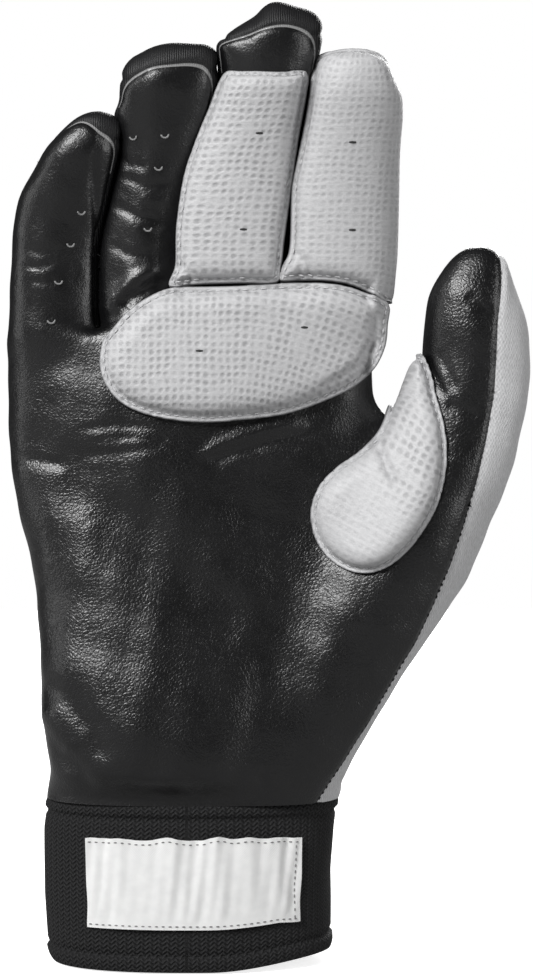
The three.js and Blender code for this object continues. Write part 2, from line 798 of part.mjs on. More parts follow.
// Palm and heel of the thumb as one shell, open at the wrist, at the fingers and at the thumb
const turns = (steps) => spread(0, 2 * Math.PI, steps).slice(0, -1);
function handLoft(inset, overhang) {
  const row = (height, shift, aboveWeb) => {
    return turns(34).map((angle) => handPoint(height, angle, inset, aboveWeb).setZ(height + shift));
  };
  const webTop = palmBase + webTopShare * palmHeight - inset;
  const rows = heelRowShares.map((share) => row(lerp(palmBase, webTop, share), 0, false));
  rows.push(...knuckleRowShares.map((share) => row(lerp(webTop + pieceGap, knuckleHeight, share), 0, true)));
  if (overhang) {
    rows.unshift(row(palmBase, -overhang, false));
    rows.push(row(knuckleHeight, overhang, true));
  }
  return loftSolid(rows);
}
const hand = handLoft(0, 0);
const hollow = handLoft(leatherWall, overrun);

// What the hand's shell gives way to: each finger above its knuckle, and the thumb beyond its hinge
function aboveFinger(finger) {
  const height = knuckleHeight - finger.drop - hingeGap / 2;
  const outermost = finger.edge === 1 ? -overrun : fingerGap / 2;
  const innermost = finger.edge === fingers.length ? overrun : fingerGap / 2;
  const low = [fingerEdge(height, finger.edge) + outermost, -handBreadth, height];
  const high = [fingerEdge(height, finger.edge + 1) + innermost, handBreadth, height + overrun];
  return boxSolid(low, high);
}
function beyondThumbHinge() {
  const mouth = thumbHingeShare - hingeGap / thumbLineLength / 2;
  const { centre, across, tangent } = thumbFrame(mouth);
  const leftReach = -thumbGirth(mouth)[0] - padSeatGap - coverWall - fingerGap;
  const box = boxSolid([leftReach, -handBreadth, 0], [handBreadth, handBreadth, handBreadth]);
  const front = new THREE.Vector3(0, 1, 0);
  const up = new THREE.Vector3(tangent.x, 0, tangent.z).normalize();
  const place = new THREE.Matrix4().makeBasis(across.clone().normalize(), front, up).setPosition(centre);
  return box.transform(place.elements);
}
let shell = hand.subtract(hollow).subtract(beyondThumbHinge());
for (const finger of fingers) shell = shell.subtract(aboveFinger(finger));

// Everything in front of the seam between palm leather and back, grown by a clearance
function leatherRegion(grow) {
  const seam = thumbSeamShares.map(([across, up]) => {
    return new THREE.Vector2(across * handBreadth + grow, palmBase + up * palmHeight);
  });
  const outline = new THREE.Shape([
    new THREE.Vector2(-handBreadth, palmBase + 2 * palmHeight),
    new THREE.Vector2(seam[0].x, palmBase + 2 * palmHeight),
    ...seam,
    new THREE.Vector2(seam[seam.length - 1].x, -palmHeight),
    new THREE.Vector2(-handBreadth, -palmHeight),
  ]);
  const region = new THREE.ExtrudeGeometry(outline, { depth: handBreadth, bevelEnabled: false });
  region.rotateX(Math.PI / 2);
  region.translate(0, leatherSetBack + grow, 0);
  return toSolid(region);
}
const backSlit = boxSolid(
  [slitSetOver - slitWidth / 2, 0, palmBase - overrun],
  [slitSetOver + slitWidth / 2, cuffDepth, palmBase + slitRise],
);
addMesh('palm_leather', toGeometry(shell.intersect(leatherRegion(0))), blackLeather);
addMesh('back_knit', toGeometry(shell.subtract(leatherRegion(pieceGap)).subtract(backSlit)), greyKnit);

// Small gussets that close the palm between two fingers
for (const finger of fingers.slice(1)) {
  const top = knuckleHeight - Math.max(finger.drop, fingers[finger.edge - 2].drop) - hingeGap;
  const bottom = top - gussetHeight;
  const middle = fingerEdge(top, finger.edge);
  const front = -(palmReach(middle, top, 1) - leatherWall - pieceGap);
  const back = knuckleBackDepth * gussetBackShare - knitWall - pieceGap;
  const saddle = new THREE.Shape();
  saddle.moveTo(front, top);
  saddle.lineTo(front, bottom);
  saddle.quadraticCurveTo((front + back) / 2, top - gussetWall, back, bottom);
  saddle.lineTo(back, top);
  const options = { depth: gussetWall, bevelEnabled: false, curveSegments: 6 };
  const gusset = new THREE.ExtrudeGeometry(saddle, options);
  const backward = new THREE.Vector3(0, 1, 0);
  const upward = new THREE.Vector3(0, 0, 1);
  const place = new THREE.Matrix4().makeBasis(backward, upward, backward.clone().cross(upward));
  gusset.applyMatrix4(place.setPosition(middle - gussetWall / 2, 0, 0));
  const { name } = fingers[finger.edge - 2];
  addMesh(`crotch_gusset_${name}_${finger.name}`, toGeometry(toSolid(gusset)), blackFabric);
}

// Pads on the palm and on the heel of the thumb
const palmPadPoint = (turnShare, heightShare, lift) => {
  const height = palmBase + heightShare * palmHeight;
  const middle = new THREE.Vector3((palmEdge(height, 1) + palmEdge(height, 2)) / 2, 0, height);
  const steps = [pieceGap, shareStep];
  return lifted(palmPoint, height, Math.PI * turnShare, steps, lift + palmPadLift, middle);
};
addRoundPad('palm_pad', palmPadShares, palmPadHeight, palmPadPoint, 30, null);
const padSeat = hand.translate([0, -padSeatGap, 0]);
const thenarPadPoint = (across, up, lift) => {
  const [x, height] = [across * handBreadth, palmBase + up * palmHeight];
  const inside = new THREE.Vector3(x, handBreadth, height);
  return lifted(padBedPoint, x, height, [2 * padRim, 2 * padRim], lift, inside);
};
addRoundPad('thenar_pad', thenarPadShares, padHeight, thenarPadPoint, 20, padSeat);

// Cuff: an open elastic band with a folded welt and hem, split at the back under the closing tab
function cuffPoint(angle, height, lift) {
  const [across, forward] = superellipse(angle, cuffRoundness);
  return new THREE.Vector3(
    across * (cuffBreadth / 2 + lift),
    -forward * (cuffDepth / 2 + lift),
    height,
  );
}
function cuffAngle(x, isBack) {
  const angle = Math.acos(Math.sign(x) * Math.abs((2 * x) / cuffBreadth) ** (cuffRoundness / 2));
  return isBack ? 2 * Math.PI - angle : angle;
}
function cuffPatch({ angles, heights, low, high }) {
  const layer = (lift) => (row, column) => cuffPoint(angles[column], heights(column)[row], lift);
  return gridSolid(heights(0).length, angles.length, layer(high), layer(low), () => true, false);
}
const slitAngles = [
  cuffAngle(slitSetOver + slitWidth / 2, true) - 2 * Math.PI,
  cuffAngle(slitSetOver - slitWidth / 2, true),
];
const cuffRings = [
  { name: 'cuff_hem', from: 0, to: hemHeight, fold: foldThickness },
  { name: 'cuff_band', from: hemHeight + pieceGap, to: cuffHeight - weltHeight - pieceGap, fold: 0 },
  { name: 'cuff_welt', from: cuffHeight - weltHeight, to: cuffHeight, fold: foldThickness },
];
for (const ring of cuffRings) {
  const heights = [ring.from, ring.to];
  const patch = {
    angles: spread(slitAngles[0], slitAngles[1], 40),
    heights: () => heights,
    low: -cuffWall - ring.fold,
    high: ring.fold,
  };
  addMesh(ring.name, cuffPatch(patch), blackKnit);
}

// Label sewn to the front of the cuff, left bare
const labelAngles = spread(cuffAngle(labelWidth / 2, false), cuffAngle(-labelWidth / 2, false), 14);
addMesh(
  'cuff_label',
  cuffPatch({
    angles: labelAngles,
    heights: () => [labelLift, labelLift + labelHeight],
    low: pieceGap,
    high: pieceGap + labelThickness,
  }),
  whiteLabel,
);

// Closing tab: loop tape on the cuff, hook tape on the tab, and the tab's sewn root beside its hinge
const tabMiddle = hemHeight + (cuffHeight - hemHeight - weltHeight) / 2;
const tabTipX = tabHingeSetOver - tabLength;
const hookLift = 2 * pieceGap + fastenerThickness;
const tabLift = hookLift + fastenerThickness + pieceGap;
function tabHalfHeight(x, border) {
  const past = clamp((tabTipX + tabTipRounding - x) / tabTipRounding, 0, 1);
  return tabHeight / 2 - border - tabTipRounding * (1 - Math.sqrt(1 - past * past * tabTipShare));
}
function tabLayer(name, fromX, toX, border, low, high, material, steps) {
  const places = spread(fromX, toX, steps);
  const heights = (column) => {
    const half = tabHalfHeight(places[column], border);
    return [tabMiddle - half, tabMiddle + half];
  };
  const angles = places.map((x) => cuffAngle(x, true));
  addMesh(name, cuffPatch({ angles, heights, low, high }), material);
}
const tapeEnd = tabTipX + fastenerBorder;
const tapeStart = tapeEnd + fastenerLength;
const loopTop = pieceGap + fastenerThickness;
const hookTop = hookLift + fastenerThickness;
const tabTop = tabLift + tabThickness;
const rootX = tabHingeSetOver + hingeGap;
tabLayer('loop_patch', tapeStart, tapeEnd, fastenerBorder, pieceGap, loopTop, loopTape, 10);
tabLayer('hook_patch', tapeStart, tapeEnd, fastenerBorder, hookLift, hookTop, hookTape, 10);
tabLayer('closure_tab', tabHingeSetOver, tabTipX, 0, tabLift, tabTop, blackKnit, 16);
tabLayer('tab_root', rootX + tabRootLength, rootX, 0, pieceGap, tabTop, blackKnit, 3);

export default glove;
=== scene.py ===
# Dresses the padded inner glove: leather and knit skin, padded covers, cuff, label and wrist closure.
# Shapes are worked out in millimetres in the frame's axes and become metres when a mesh is made.
import json
import math

import bpy
import numpy as np
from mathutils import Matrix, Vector


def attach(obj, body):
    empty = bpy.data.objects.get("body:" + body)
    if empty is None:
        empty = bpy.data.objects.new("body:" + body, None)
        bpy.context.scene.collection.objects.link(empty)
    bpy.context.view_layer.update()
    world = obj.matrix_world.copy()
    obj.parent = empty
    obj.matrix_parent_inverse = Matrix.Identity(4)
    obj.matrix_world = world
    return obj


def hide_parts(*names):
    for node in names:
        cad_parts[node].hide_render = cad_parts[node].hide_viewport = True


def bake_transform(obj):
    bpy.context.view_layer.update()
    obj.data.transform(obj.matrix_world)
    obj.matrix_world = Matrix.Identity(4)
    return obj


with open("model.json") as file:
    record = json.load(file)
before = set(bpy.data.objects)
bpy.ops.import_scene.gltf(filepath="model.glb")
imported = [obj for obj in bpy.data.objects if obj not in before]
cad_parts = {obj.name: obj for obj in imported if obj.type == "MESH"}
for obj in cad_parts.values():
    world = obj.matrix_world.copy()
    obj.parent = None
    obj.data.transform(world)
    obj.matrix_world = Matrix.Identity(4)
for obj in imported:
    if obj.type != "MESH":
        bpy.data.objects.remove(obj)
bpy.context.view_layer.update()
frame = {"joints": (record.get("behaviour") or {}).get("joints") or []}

MM = 0.001

# Photograph: its frame, the size of a pixel on the object, and the pixel that lies on the origin
PHOTO_WIDTH = 533
PHOTO_HEIGHT = 975
PIXEL = 0.258
ORIGIN_PIXEL = (190, 962)

# Driving sizes
HAND_BREADTH = 98
PALM_BASE = 42.6
PALM_HEIGHT = 130.8
KNUCKLE_HEIGHT = PALM_BASE + PALM_HEIGHT
KNUCKLE_FRONT = 13
KNUCKLE_BACK = 8
HEEL_BULGE = 1.5
CUFF_BREADTH = 75.6
CUFF_DEPTH = 40
MIDDLE_LENGTH = 75.5
FINGER_CURL = math.radians(20)
THUMB_BREADTH = 28
THUMB_DEPTH = 27
THUMB_FORWARD = 5
THUMB_TIP_FORWARD = 6

# Walls, gaps and seams
LEATHER_WALL = 1.1
FINGER_GAP = 1.5
HEEL_BLEND = 12
KNUCKLE_BLEND = 3.5
SEAM_DEPTH = 0.5
SEAM_WIDTH = 0.85
GRID_STEP = 0.9
PAD_STEP = 0.6

# Sections, as powers of a superellipse
PALM_POWER = 2.6
DIGIT_POWER = 2.2
CUFF_POWER = 2.3

# Heights of the bottoms of the gaps beside the fingers, from the little finger's outer edge on
CROTCH_HEIGHTS = [161.5, 163.0, 169.7, 171.7, 170.5]

# Palm edges: share of palm height, then left and right edge as shares of hand breadth
PALM_EDGE_SHARES = [
    (-0.05, -0.374, 0.37), (0, -0.374, 0.389), (0.1, -0.379, 0.437), (0.252, -0.388, 0.49),
    (0.452, -0.421, 0.525), (0.576, -0.453, 0.55), (0.655, -0.474, 0.553), (0.705, -0.479, 0.522),
    (0.735, -0.479, 0.502), (0.803, -0.479, 0.486), (0.892, -0.483, 0.484), (1, -0.478, 0.5),
    (1.1, -0.478, 0.5),
]
PALM_DEPTH_SHARES = [(0, 0, 0), (0.25, 0.12, 0.12), (0.5, 0.3, 0.3), (0.8, 0.62, 0.68), (1, 1, 1)]

# Finger edges: share of the middle finger's length above the knuckles, then five edges as shares of breadth
FINGER_EDGE_SHARES = [
    (-0.15, -0.483, -0.243, -0.029, 0.263, 0.5), (0, -0.478, -0.243, -0.029, 0.263, 0.5),
    (0.14, -0.466, -0.242, -0.024, 0.259, 0.508), (0.309, -0.442, -0.215, 0, 0.268, 0.513),
    (0.484, -0.379, -0.189, 0.029, 0.289, 0.517), (0.624, -0.326, -0.195, 0.062, 0.308, 0.529),
    (0.765, -0.326, -0.203, 0.082, 0.332, 0.537), (1, -0.326, -0.203, 0.084, 0.337, 0.537),
]
FINGER_DEPTH_SHARES = [(0, 1), (0.3, 0.98), (0.6, 0.95), (1, 0.9)]
THUMB_PATH_SHARES = [
    (0.289, 0.093), (0.395, 0.211), (0.487, 0.349), (0.566, 0.467), (0.637, 0.576), (0.697, 0.684),
    (0.737, 0.803), (0.753, 0.901), (0.755, 0.98), (0.758, 1.083),
]
THUMB_GIRTH_SHARES = [
    (0, 0.72, 1.1), (0.133, 1, 1.22), (0.277, 1.14, 1.26), (0.401, 1.1, 1.24), (0.514, 1.02, 1.14),
    (0.624, 0.99, 1), (0.738, 0.97, 0.9), (0.83, 0.97, 0.83), (1, 0.94, 0.74),
]
THUMB_HINGE_SHARE = 0.603
THUMB_DOME_SHARE = 0.84
FINGER_DOME_SHARE = 0.8

# Fingers: edge is the column of the finger's outer edge
FINGERS = {
    "little": dict(edge=1, drop=8.8, length=54, depth=17, outer=False, inner=True),
    "ring": dict(edge=2, drop=2.1, length=66, depth=18.4, outer=True, inner=True),
    "middle": dict(edge=3, drop=0, length=75.5, depth=19.6, outer=True, inner=True),
    "index": dict(edge=4, drop=0.5, length=63.2, depth=19.6, outer=True, inner=False),
}

# Pixels of the outlines that are sewn on the front
SEAM_PIXELS = [
    (499, 236), (498, 258), (499, 282), (494, 329), (491, 395), (482, 447), (472, 490), (458, 537),
    (441, 584), (418, 634), (395, 674), (372, 713), (346, 755), (326, 786), (312, 808),
]
PALM_PAD_PIXELS = [
    (172, 290), (148, 300), (128, 315), (115, 330), (105, 343), (102, 361), (104, 377), (111, 391),
    (123, 404), (142, 414), (170, 421), (204, 424), (237, 422), (277, 417), (300, 411), (324, 402),
    (352, 389), (371, 373), (380, 360), (387, 343), (390, 324), (393, 308), (386, 301), (366, 294),
    (344, 288), (320, 285), (285, 285), (240, 288), (200, 289),
]
THUMB_PAD_PIXELS = [
    (420, 353), (406, 360), (398, 378), (393, 396), (389, 411), (384, 425), (376, 438), (357, 453),
    (337, 466), (319, 484), (310, 508), (312, 532), (323, 553), (341, 567), (361, 572), (382, 567),
    (403, 551), (422, 527), (436, 499), (443, 466), (442, 431), (434, 398), (429, 372),
]
MIDDLE_PAD_PIXELS = [
    (222, 84), (245, 80), (281, 81), (306, 79), (306, 102), (299, 140), (293, 180), (289, 210),
    (284, 246), (281, 270), (276, 285), (240, 286), (200, 287), (170, 289), (176, 268), (177, 230),
    (184, 182), (194, 150), (208, 115),
]
INDEX_PAD_PIXELS = [
    (314, 62), (340, 55), (365, 56), (390, 64), (406, 82), (430, 105), (430, 288), (404, 302),
    (388, 303), (366, 293), (344, 286), (318, 283), (296, 283), (279, 283), (281, 270), (288, 256),
    (290, 236), (291, 191), (296, 166), (304, 127), (308, 102),
]


def at(pixel):
    """Place of a photograph pixel in the frame: across and up, in millimetres."""
    return np.array([(pixel[0] - ORIGIN_PIXEL[0]) * PIXEL, (ORIGIN_PIXEL[1] - pixel[1]) * PIXEL])


def look_up(table, place, column=1):
    """A smooth curve through the rows of a table, read at many places."""
    rows = np.array(table, float)
    keys = rows[:, 0]
    values = rows[:, column]
    last = len(keys) - 1
    before = np.maximum(np.arange(last + 1) - 1, 0)
    after = np.minimum(np.arange(last + 1) + 1, last)
    slopes = (values[after] - values[before]) / (keys[after] - keys[before])
    place = np.clip(place, keys[0], keys[-1])
    row = np.clip(np.searchsorted(keys, place, side="right") - 1, 0, last - 1)
    span = keys[row + 1] - keys[row]
    t = (place - keys[row]) / span
    start = values[row]
    end = values[row + 1]
    first = slopes[row] * span
    second = slopes[row + 1] * span
    cubic = 2 * start - 2 * end + first + second
    square = -3 * start + 3 * end - 2 * first - second
    return ((cubic * t + square) * t + first) * t + start


def ramp(value, start, end):
    """Rises smoothly from 0 at start to 1 at end."""
    t = np.clip((value - start) / (end - start), 0, 1)
    return t * t * (3 - 2 * t)


def smooth_min(a, b, reach):
    """The lower of two fields, rounded where they meet."""
    share = np.clip(0.5 + 0.5 * (b - a) / reach, 0, 1)
    return b * (1 - share) + a * share - reach * share * (1 - share)


def unit(vectors):
    """Rows of vectors, each made one long."""
    return vectors / np.maximum(np.linalg.norm(vectors, axis=1), 1e-12)[:, None]


def square_to(vectors, others):
    """What is left of vectors without the part along others, each made one long."""
    return unit(vectors - (vectors * others).sum(1)[:, None] * others)


def flat_marks(across, up):
    """Flat coordinates as rows of three, for a material."""
    return np.stack([across, up, np.zeros(len(up))], 1)


def distance_along(places):
    """The distance along a line of places, up to each of them."""
    return np.concatenate([[0], np.cumsum(np.linalg.norm(np.diff(places, axis=0), axis=1))])


def places_at(steps, run, places):
    """Places at given distances along a line."""
    return np.stack([np.interp(steps, run, column) for column in places.T], 1)


def level_of(across, forward, half_breadth, half_depth, power, beyond=0.0):
    """1 on the surface of a rounded section, less inside it; beyond is the share of a domed end."""
    round_part = np.abs(across / half_breadth) ** power + np.abs(forward / half_depth) ** power
    return np.sqrt(round_part ** (2 / power) + beyond**2)


# Palm
def palm_edges(height):
    """The palm's left and right edge at a height. At the wrist they meet the cuff."""
    share = (height - PALM_BASE) / PALM_HEIGHT
    near_wrist = (1 - np.clip(share, 0, 1)) ** 3
    edges = []
    for column, side in ((1, -1), (2, 1)):
        wrist = side * CUFF_BREADTH / 2 - PALM_EDGE_SHARES[1][column] * HAND_BREADTH
        edges.append(look_up(PALM_EDGE_SHARES, share, column) * HAND_BREADTH + wrist * near_wrist)
    return edges


def palm_level(x, y, z):
    """1 on the palm's surface, less inside it."""
    left, right = palm_edges(z)
    share = np.clip((z - PALM_BASE) / PALM_HEIGHT, 0, 1)
    bulge = HEEL_BULGE * np.sin(np.pi * share)
    front = CUFF_DEPTH / 2 + (KNUCKLE_FRONT - CUFF_DEPTH / 2) * look_up(PALM_DEPTH_SHARES, share, 1) + bulge
    back = CUFF_DEPTH / 2 + (KNUCKLE_BACK - CUFF_DEPTH / 2) * look_up(PALM_DEPTH_SHARES, share, 2)
    depth = np.where(y < 0, front, back)
    return level_of(x - (left + right) / 2, y, (right - left) / 2, depth, PALM_POWER)


def knuckle_ceiling(x):
    """Height of the bottom of the gaps between the fingers, across the palm."""
    columns = range(1, len(CROTCH_HEIGHTS) + 1)
    edges = [look_up(FINGER_EDGE_SHARES, 0.0, column) * HAND_BREADTH for column in columns]
    return np.interp(x, edges, CROTCH_HEIGHTS)


# Digits: a place in a digit is its share along it, and how far it lies sideways and forward of its middle
SAMPLES = 120
KNOT_STEPS = 40


def finger_line(finger):
    """The curled centre line of a finger with its half breadths, half depths and front directions."""
    share = np.linspace(0, 1, SAMPLES + 1)
    turn = FINGER_CURL * share
    bend = finger["length"] / FINGER_CURL
    height = KNUCKLE_HEIGHT - finger["drop"] + bend * np.sin(turn)
    along = (height - KNUCKLE_HEIGHT) / MIDDLE_LENGTH
    left = look_up(FINGER_EDGE_SHARES, along, finger["edge"]) * HAND_BREADTH + FINGER_GAP / 2
    right = look_up(FINGER_EDGE_SHARES, along, finger["edge"] + 1) * HAND_BREADTH - FINGER_GAP / 2
    root = finger["depth"] / 2 - KNUCKLE_FRONT
    none = np.zeros_like(share)
    return dict(
        share=share,
        length=finger["length"],
        centre=np.stack([(left + right) / 2, root - bend * (1 - np.cos(turn)), height], 1),
        tangent=np.stack([none, -np.sin(turn), np.cos(turn)], 1),
        front=np.stack([none, -np.cos(turn), -np.sin(turn)], 1),
        across=np.stack([none + 1, none, none], 1),
        half_breadth=(right - left) / 2,
        half_depth=look_up(FINGER_DEPTH_SHARES, share) * finger["depth"] / 2,
        dome=FINGER_DOME_SHARE,
    )


def thumb_line():
    """The thumb's centre line, from inside the heel of the hand to the tip."""
    knots = np.array(THUMB_PATH_SHARES) * [HAND_BREADTH, PALM_HEIGHT] + [0, PALM_BASE]
    steps = np.linspace(0, len(knots) - 1, KNOT_STEPS * (len(knots) - 1) + 1)
    table = np.column_stack([np.arange(len(knots)), knots])
    fine = np.column_stack([look_up(table, steps, 1), look_up(table, steps, 2)])
    run = distance_along(fine)
    share = np.linspace(0, 1, SAMPLES + 1)
    x, z = places_at(share * run[-1], run, fine).T
    past = np.clip((share - THUMB_HINGE_SHARE) / (1 - THUMB_HINGE_SHARE), 0, 1)
    forward = THUMB_FORWARD * np.clip(share / THUMB_HINGE_SHARE, 0, 1) + THUMB_TIP_FORWARD * past**2
    centre = np.stack([x, -forward, z], 1)
    tangent = unit(np.gradient(centre, axis=0))
    across = unit(np.stack([tangent[:, 2], np.zeros(len(x)), -tangent[:, 0]], 1))
    return dict(
        share=share,
        length=run[-1],
        centre=centre,
        tangent=tangent,
        front=np.cross(across, tangent),
        across=across,
        half_breadth=look_up(THUMB_GIRTH_SHARES, share, 1) * THUMB_BREADTH / 2,
        half_depth=look_up(THUMB_GIRTH_SHARES, share, 2) * THUMB_DEPTH / 2,
        dome=THUMB_DOME_SHARE,
    )


def read(line, name, share):
    """One of a digit's measures at many shares of its length."""
    values = line[name]
    if values.ndim == 1:
        return np.interp(share, line["share"], values)
    return places_at(share, line["share"], values)


def digit_place(line, points):
    """Share along, sideways and forward distance of points in a digit. The share runs past both ends."""
    height = line["centre"][:, 2]
    share = np.interp(points[:, 2], height, line["share"])
    for _ in range(4):
        held = np.clip(share, 0, 1)
        offset = points - read(line, "centre", held)
        along = (offset * read(line, "tangent", held)).sum(1) / line["length"]
        share = held + along
    held = np.clip(share, 0, 1)
    offset = points - read(line, "centre", held)
    across = (offset * read(line, "across", held)).sum(1)
    forward = (offset * read(line, "front", held)).sum(1)
    return share, across, forward


def digit_level(line, points, root_reach):
    """1 on the digit's surface, less inside it. The root ends in a dome as long as root_reach."""
    share, across, forward = digit_place(line, points)
    beyond = np.maximum(share - line["dome"], 0) / (1 - line["dome"])
    beyond = np.maximum(beyond, -share * line["length"] / root_reach)
    half_breadth = read(line, "half_breadth", np.clip(share, 0, 1))
    half_depth = read(line, "half_depth", np.clip(share, 0, 1))
    return level_of(across, forward, half_breadth, half_depth, DIGIT_POWER, beyond)


LINES = {name: finger_line(finger) for name, finger in FINGERS.items()}
LINES["thumb"] = thumb_line()


def run_of(digit, points):
    """How far along a digit points lie, in millimetres."""
    return digit_place(LINES[digit], points)[0] * LINES[digit]["length"]


# Field of signed distances to the glove's surface, on a grid
GRID_LOW = np.array([-56.0, -36.0, 36.0])
GRID_HIGH = np.array([90.5, 24.0, 254.0])
PALM_SLOPE_FLOOR = 1 / 60
DIGIT_SLOPE_FLOOR = 1 / 40
FAR_AWAY = 40.0
# Space kept round a digit, and the length of the dome under its root
THUMB_MARGIN = 16
FINGER_MARGIN = 9
THUMB_ROOT_REACH = 24
FINGER_ROOT_REACH = 15


def axes_of(low, high, step):
    """The grid's values along each axis."""
    return [np.arange(a, b, step) for a, b in zip(low, high)]


AXES = axes_of(GRID_LOW, GRID_HIGH, GRID_STEP)


def distance_from(level, floor):
    """A level that is 1 on the surface, turned into a distance by its slope."""
    slope = np.sqrt(sum(part**2 for part in np.gradient(level, GRID_STEP)))
    return (level - 1) / np.maximum(slope, floor)


def block(line, margin):
    """Slices of the grid round a digit."""
    reach = np.maximum(line["half_breadth"], line["half_depth"]).max() + margin
    low = line["centre"].min(0) - reach
    high = line["centre"].max(0) + reach
    return tuple(slice(*np.searchsorted(axis, (a, b))) for axis, a, b in zip(AXES, low, high))


def grid_points(axes):
    """All points of a grid in rows, and the grid's shape."""
    mesh = np.meshgrid(*axes, indexing="ij")
    return np.stack([part.ravel() for part in mesh], 1), mesh[0].shape


def glove_fields():
    """Signed distances: the palm alone, running on upwards, each digit alone, and the whole glove."""
    x, y, z = np.meshgrid(*AXES, indexing="ij", sparse=True)
    long_palm = distance_from(palm_level(x, y, z), PALM_SLOPE_FLOOR)
    ceiling = (z - knuckle_ceiling(x)) * np.ones_like(long_palm)
    palm = -smooth_min(-long_palm, -ceiling, KNUCKLE_BLEND)
    digits = {}
    whole = palm.copy()
    for name, line in LINES.items():
        thumb = name == "thumb"
        part = block(line, THUMB_MARGIN if thumb else FINGER_MARGIN)
        points, shape = grid_points([axis[cells] for axis, cells in zip(AXES, part)])
        level = digit_level(line, points, THUMB_ROOT_REACH if thumb else FINGER_ROOT_REACH)
        digits[name] = np.full(palm.shape, FAR_AWAY)
        digits[name][part] = distance_from(level.reshape(shape), DIGIT_SLOPE_FLOOR)
        reach = HEEL_BLEND if thumb else KNUCKLE_BLEND
        whole = np.minimum(whole, smooth_min(palm, digits[name], reach))
    return long_palm, digits, whole


def sample(field, points, low, step):
    """Reads a grid of values at free points."""
    place = (points - low) / step
    cell = np.floor(place).astype(int)
    cell = np.clip(cell, 0, np.array(field.shape) - 2)
    t = np.clip(place - cell, 0, 1)
    total = 0
    for corner in np.ndindex(2, 2, 2):
        weight = np.prod(np.where(corner, t, 1 - t), axis=1)
        total = total + weight * field[tuple((cell + corner).T)]
    return total


def surface_net(field, low, step):
    """Points and triangles of the surface where a grid of values changes sign."""
    inside = field < 0
    size = np.array(field.shape)
    corners = list(np.ndindex(2, 2, 2))
    count = np.zeros(size - 1, np.int8)
    for i, j, k in corners:
        count += inside[i:size[0] - 1 + i, j:size[1] - 1 + j, k:size[2] - 1 + k]
    mixed = (count > 0) & (count < 8)
    cells = np.argwhere(mixed)
    number = np.full(mixed.shape, -1)
    number[mixed] = np.arange(len(cells))
    total = np.zeros((len(cells), 3))
    hits = np.zeros(len(cells))
    for corner in corners:
        for axis in range(3):
            if corner[axis]:
                continue
            step_on = np.eye(3, dtype=int)[axis]
            first = field[tuple((cells + corner).T)]
            second = field[tuple((cells + corner + step_on).T)]
            crossed = (first < 0) != (second < 0)
            t = first[crossed] / (first[crossed] - second[crossed])
            total[crossed] += np.array(corner) + t[:, None] * step_on
            hits[crossed] += 1
    points = low + (cells + total / hits[:, None]) * step
    quads = []
    for axis in range(3):
        b = np.eye(3, dtype=int)[(axis + 1) % 3]
        c = np.eye(3, dtype=int)[(axis + 2) % 3]
        step_on = np.eye(3, dtype=int)[axis]
        low_cut = tuple(slice(0 if k == axis else 1, -1) for k in range(3))
        high_cut = tuple(slice(1 if k == axis else 1, None if k == axis else -1) for k in range(3))
        changed = np.argwhere(inside[low_cut] != inside[high_cut]) + (b + c)
        around = [number[tuple((changed - d).T)] for d in (b + c, c, 0 * b, b)]
        outward = inside[tuple(changed.T)]
        quad = np.stack(around, 1)
        quad[~outward] = quad[~outward][:, ::-1]
        quads.append(quad)
    quads = np.concatenate(quads)
    first = np.linalg.norm(points[quads[:, 0]] - points[quads[:, 2]], axis=1)
    second = np.linalg.norm(points[quads[:, 1]] - points[quads[:, 3]], axis=1)
    turned = np.where((first <= second)[:, None], quads, np.roll(quads, -1, axis=1))
    return points, np.concatenate([turned[:, [0, 1, 2]], turned[:, [0, 2, 3]]])


def sides_of(triangles):
    """The three directed edges of every triangle."""
    return np.concatenate([triangles[:, [0, 1]], triangles[:, [1, 2]], triangles[:, [2, 0]]])


def border_of(triangles, size):
    """The directed edges that no second triangle shares."""
    edges = sides_of(triangles)
    keys = edges[:, 0] * size + edges[:, 1]
    back = edges[:, 1] * size + edges[:, 0]
    return edges[~np.isin(keys, back)]


def relax(points, triangles, rounds, strength=0.5):
    """Evens out the spacing of points."""
    edges = np.unique(np.sort(sides_of(triangles), axis=1), axis=0)
    count = np.bincount(edges.ravel(), minlength=len(points))[:, None]
    for _ in range(rounds):
        total = np.zeros_like(points)
        for k in range(3):
            total[:, k] = np.bincount(edges[:, 0], points[edges[:, 1], k], len(points))
            total[:, k] += np.bincount(edges[:, 1], points[edges[:, 0], k], len(points))
        points = points + strength * (total / np.maximum(count, 1) - points)
    return points


def settle(points, field, low, step, rounds=2):
    """Moves points onto the surface of a field."""
    slopes = np.gradient(field, step)
    for _ in range(rounds):
        slope = np.stack([sample(part, points, low, step) for part in slopes], 1)
        square = np.maximum((slope**2).sum(1), 0.2)
        shift = sample(field, points, low, step) / square
        points = points - np.clip(shift, -step, step)[:, None] * slope
    return points


def normals_of(points, triangles):
    """Smooth normals at the points."""
    a, b, c = (points[triangles[:, k]] for k in range(3))
    faces = np.cross(b - a, c - a)
    normals = np.zeros_like(points)
    for k in range(3):
        for axis in range(3):
            normals[:, axis] += np.bincount(triangles[:, k], faces[:, axis], len(points))
    return unit(normals)


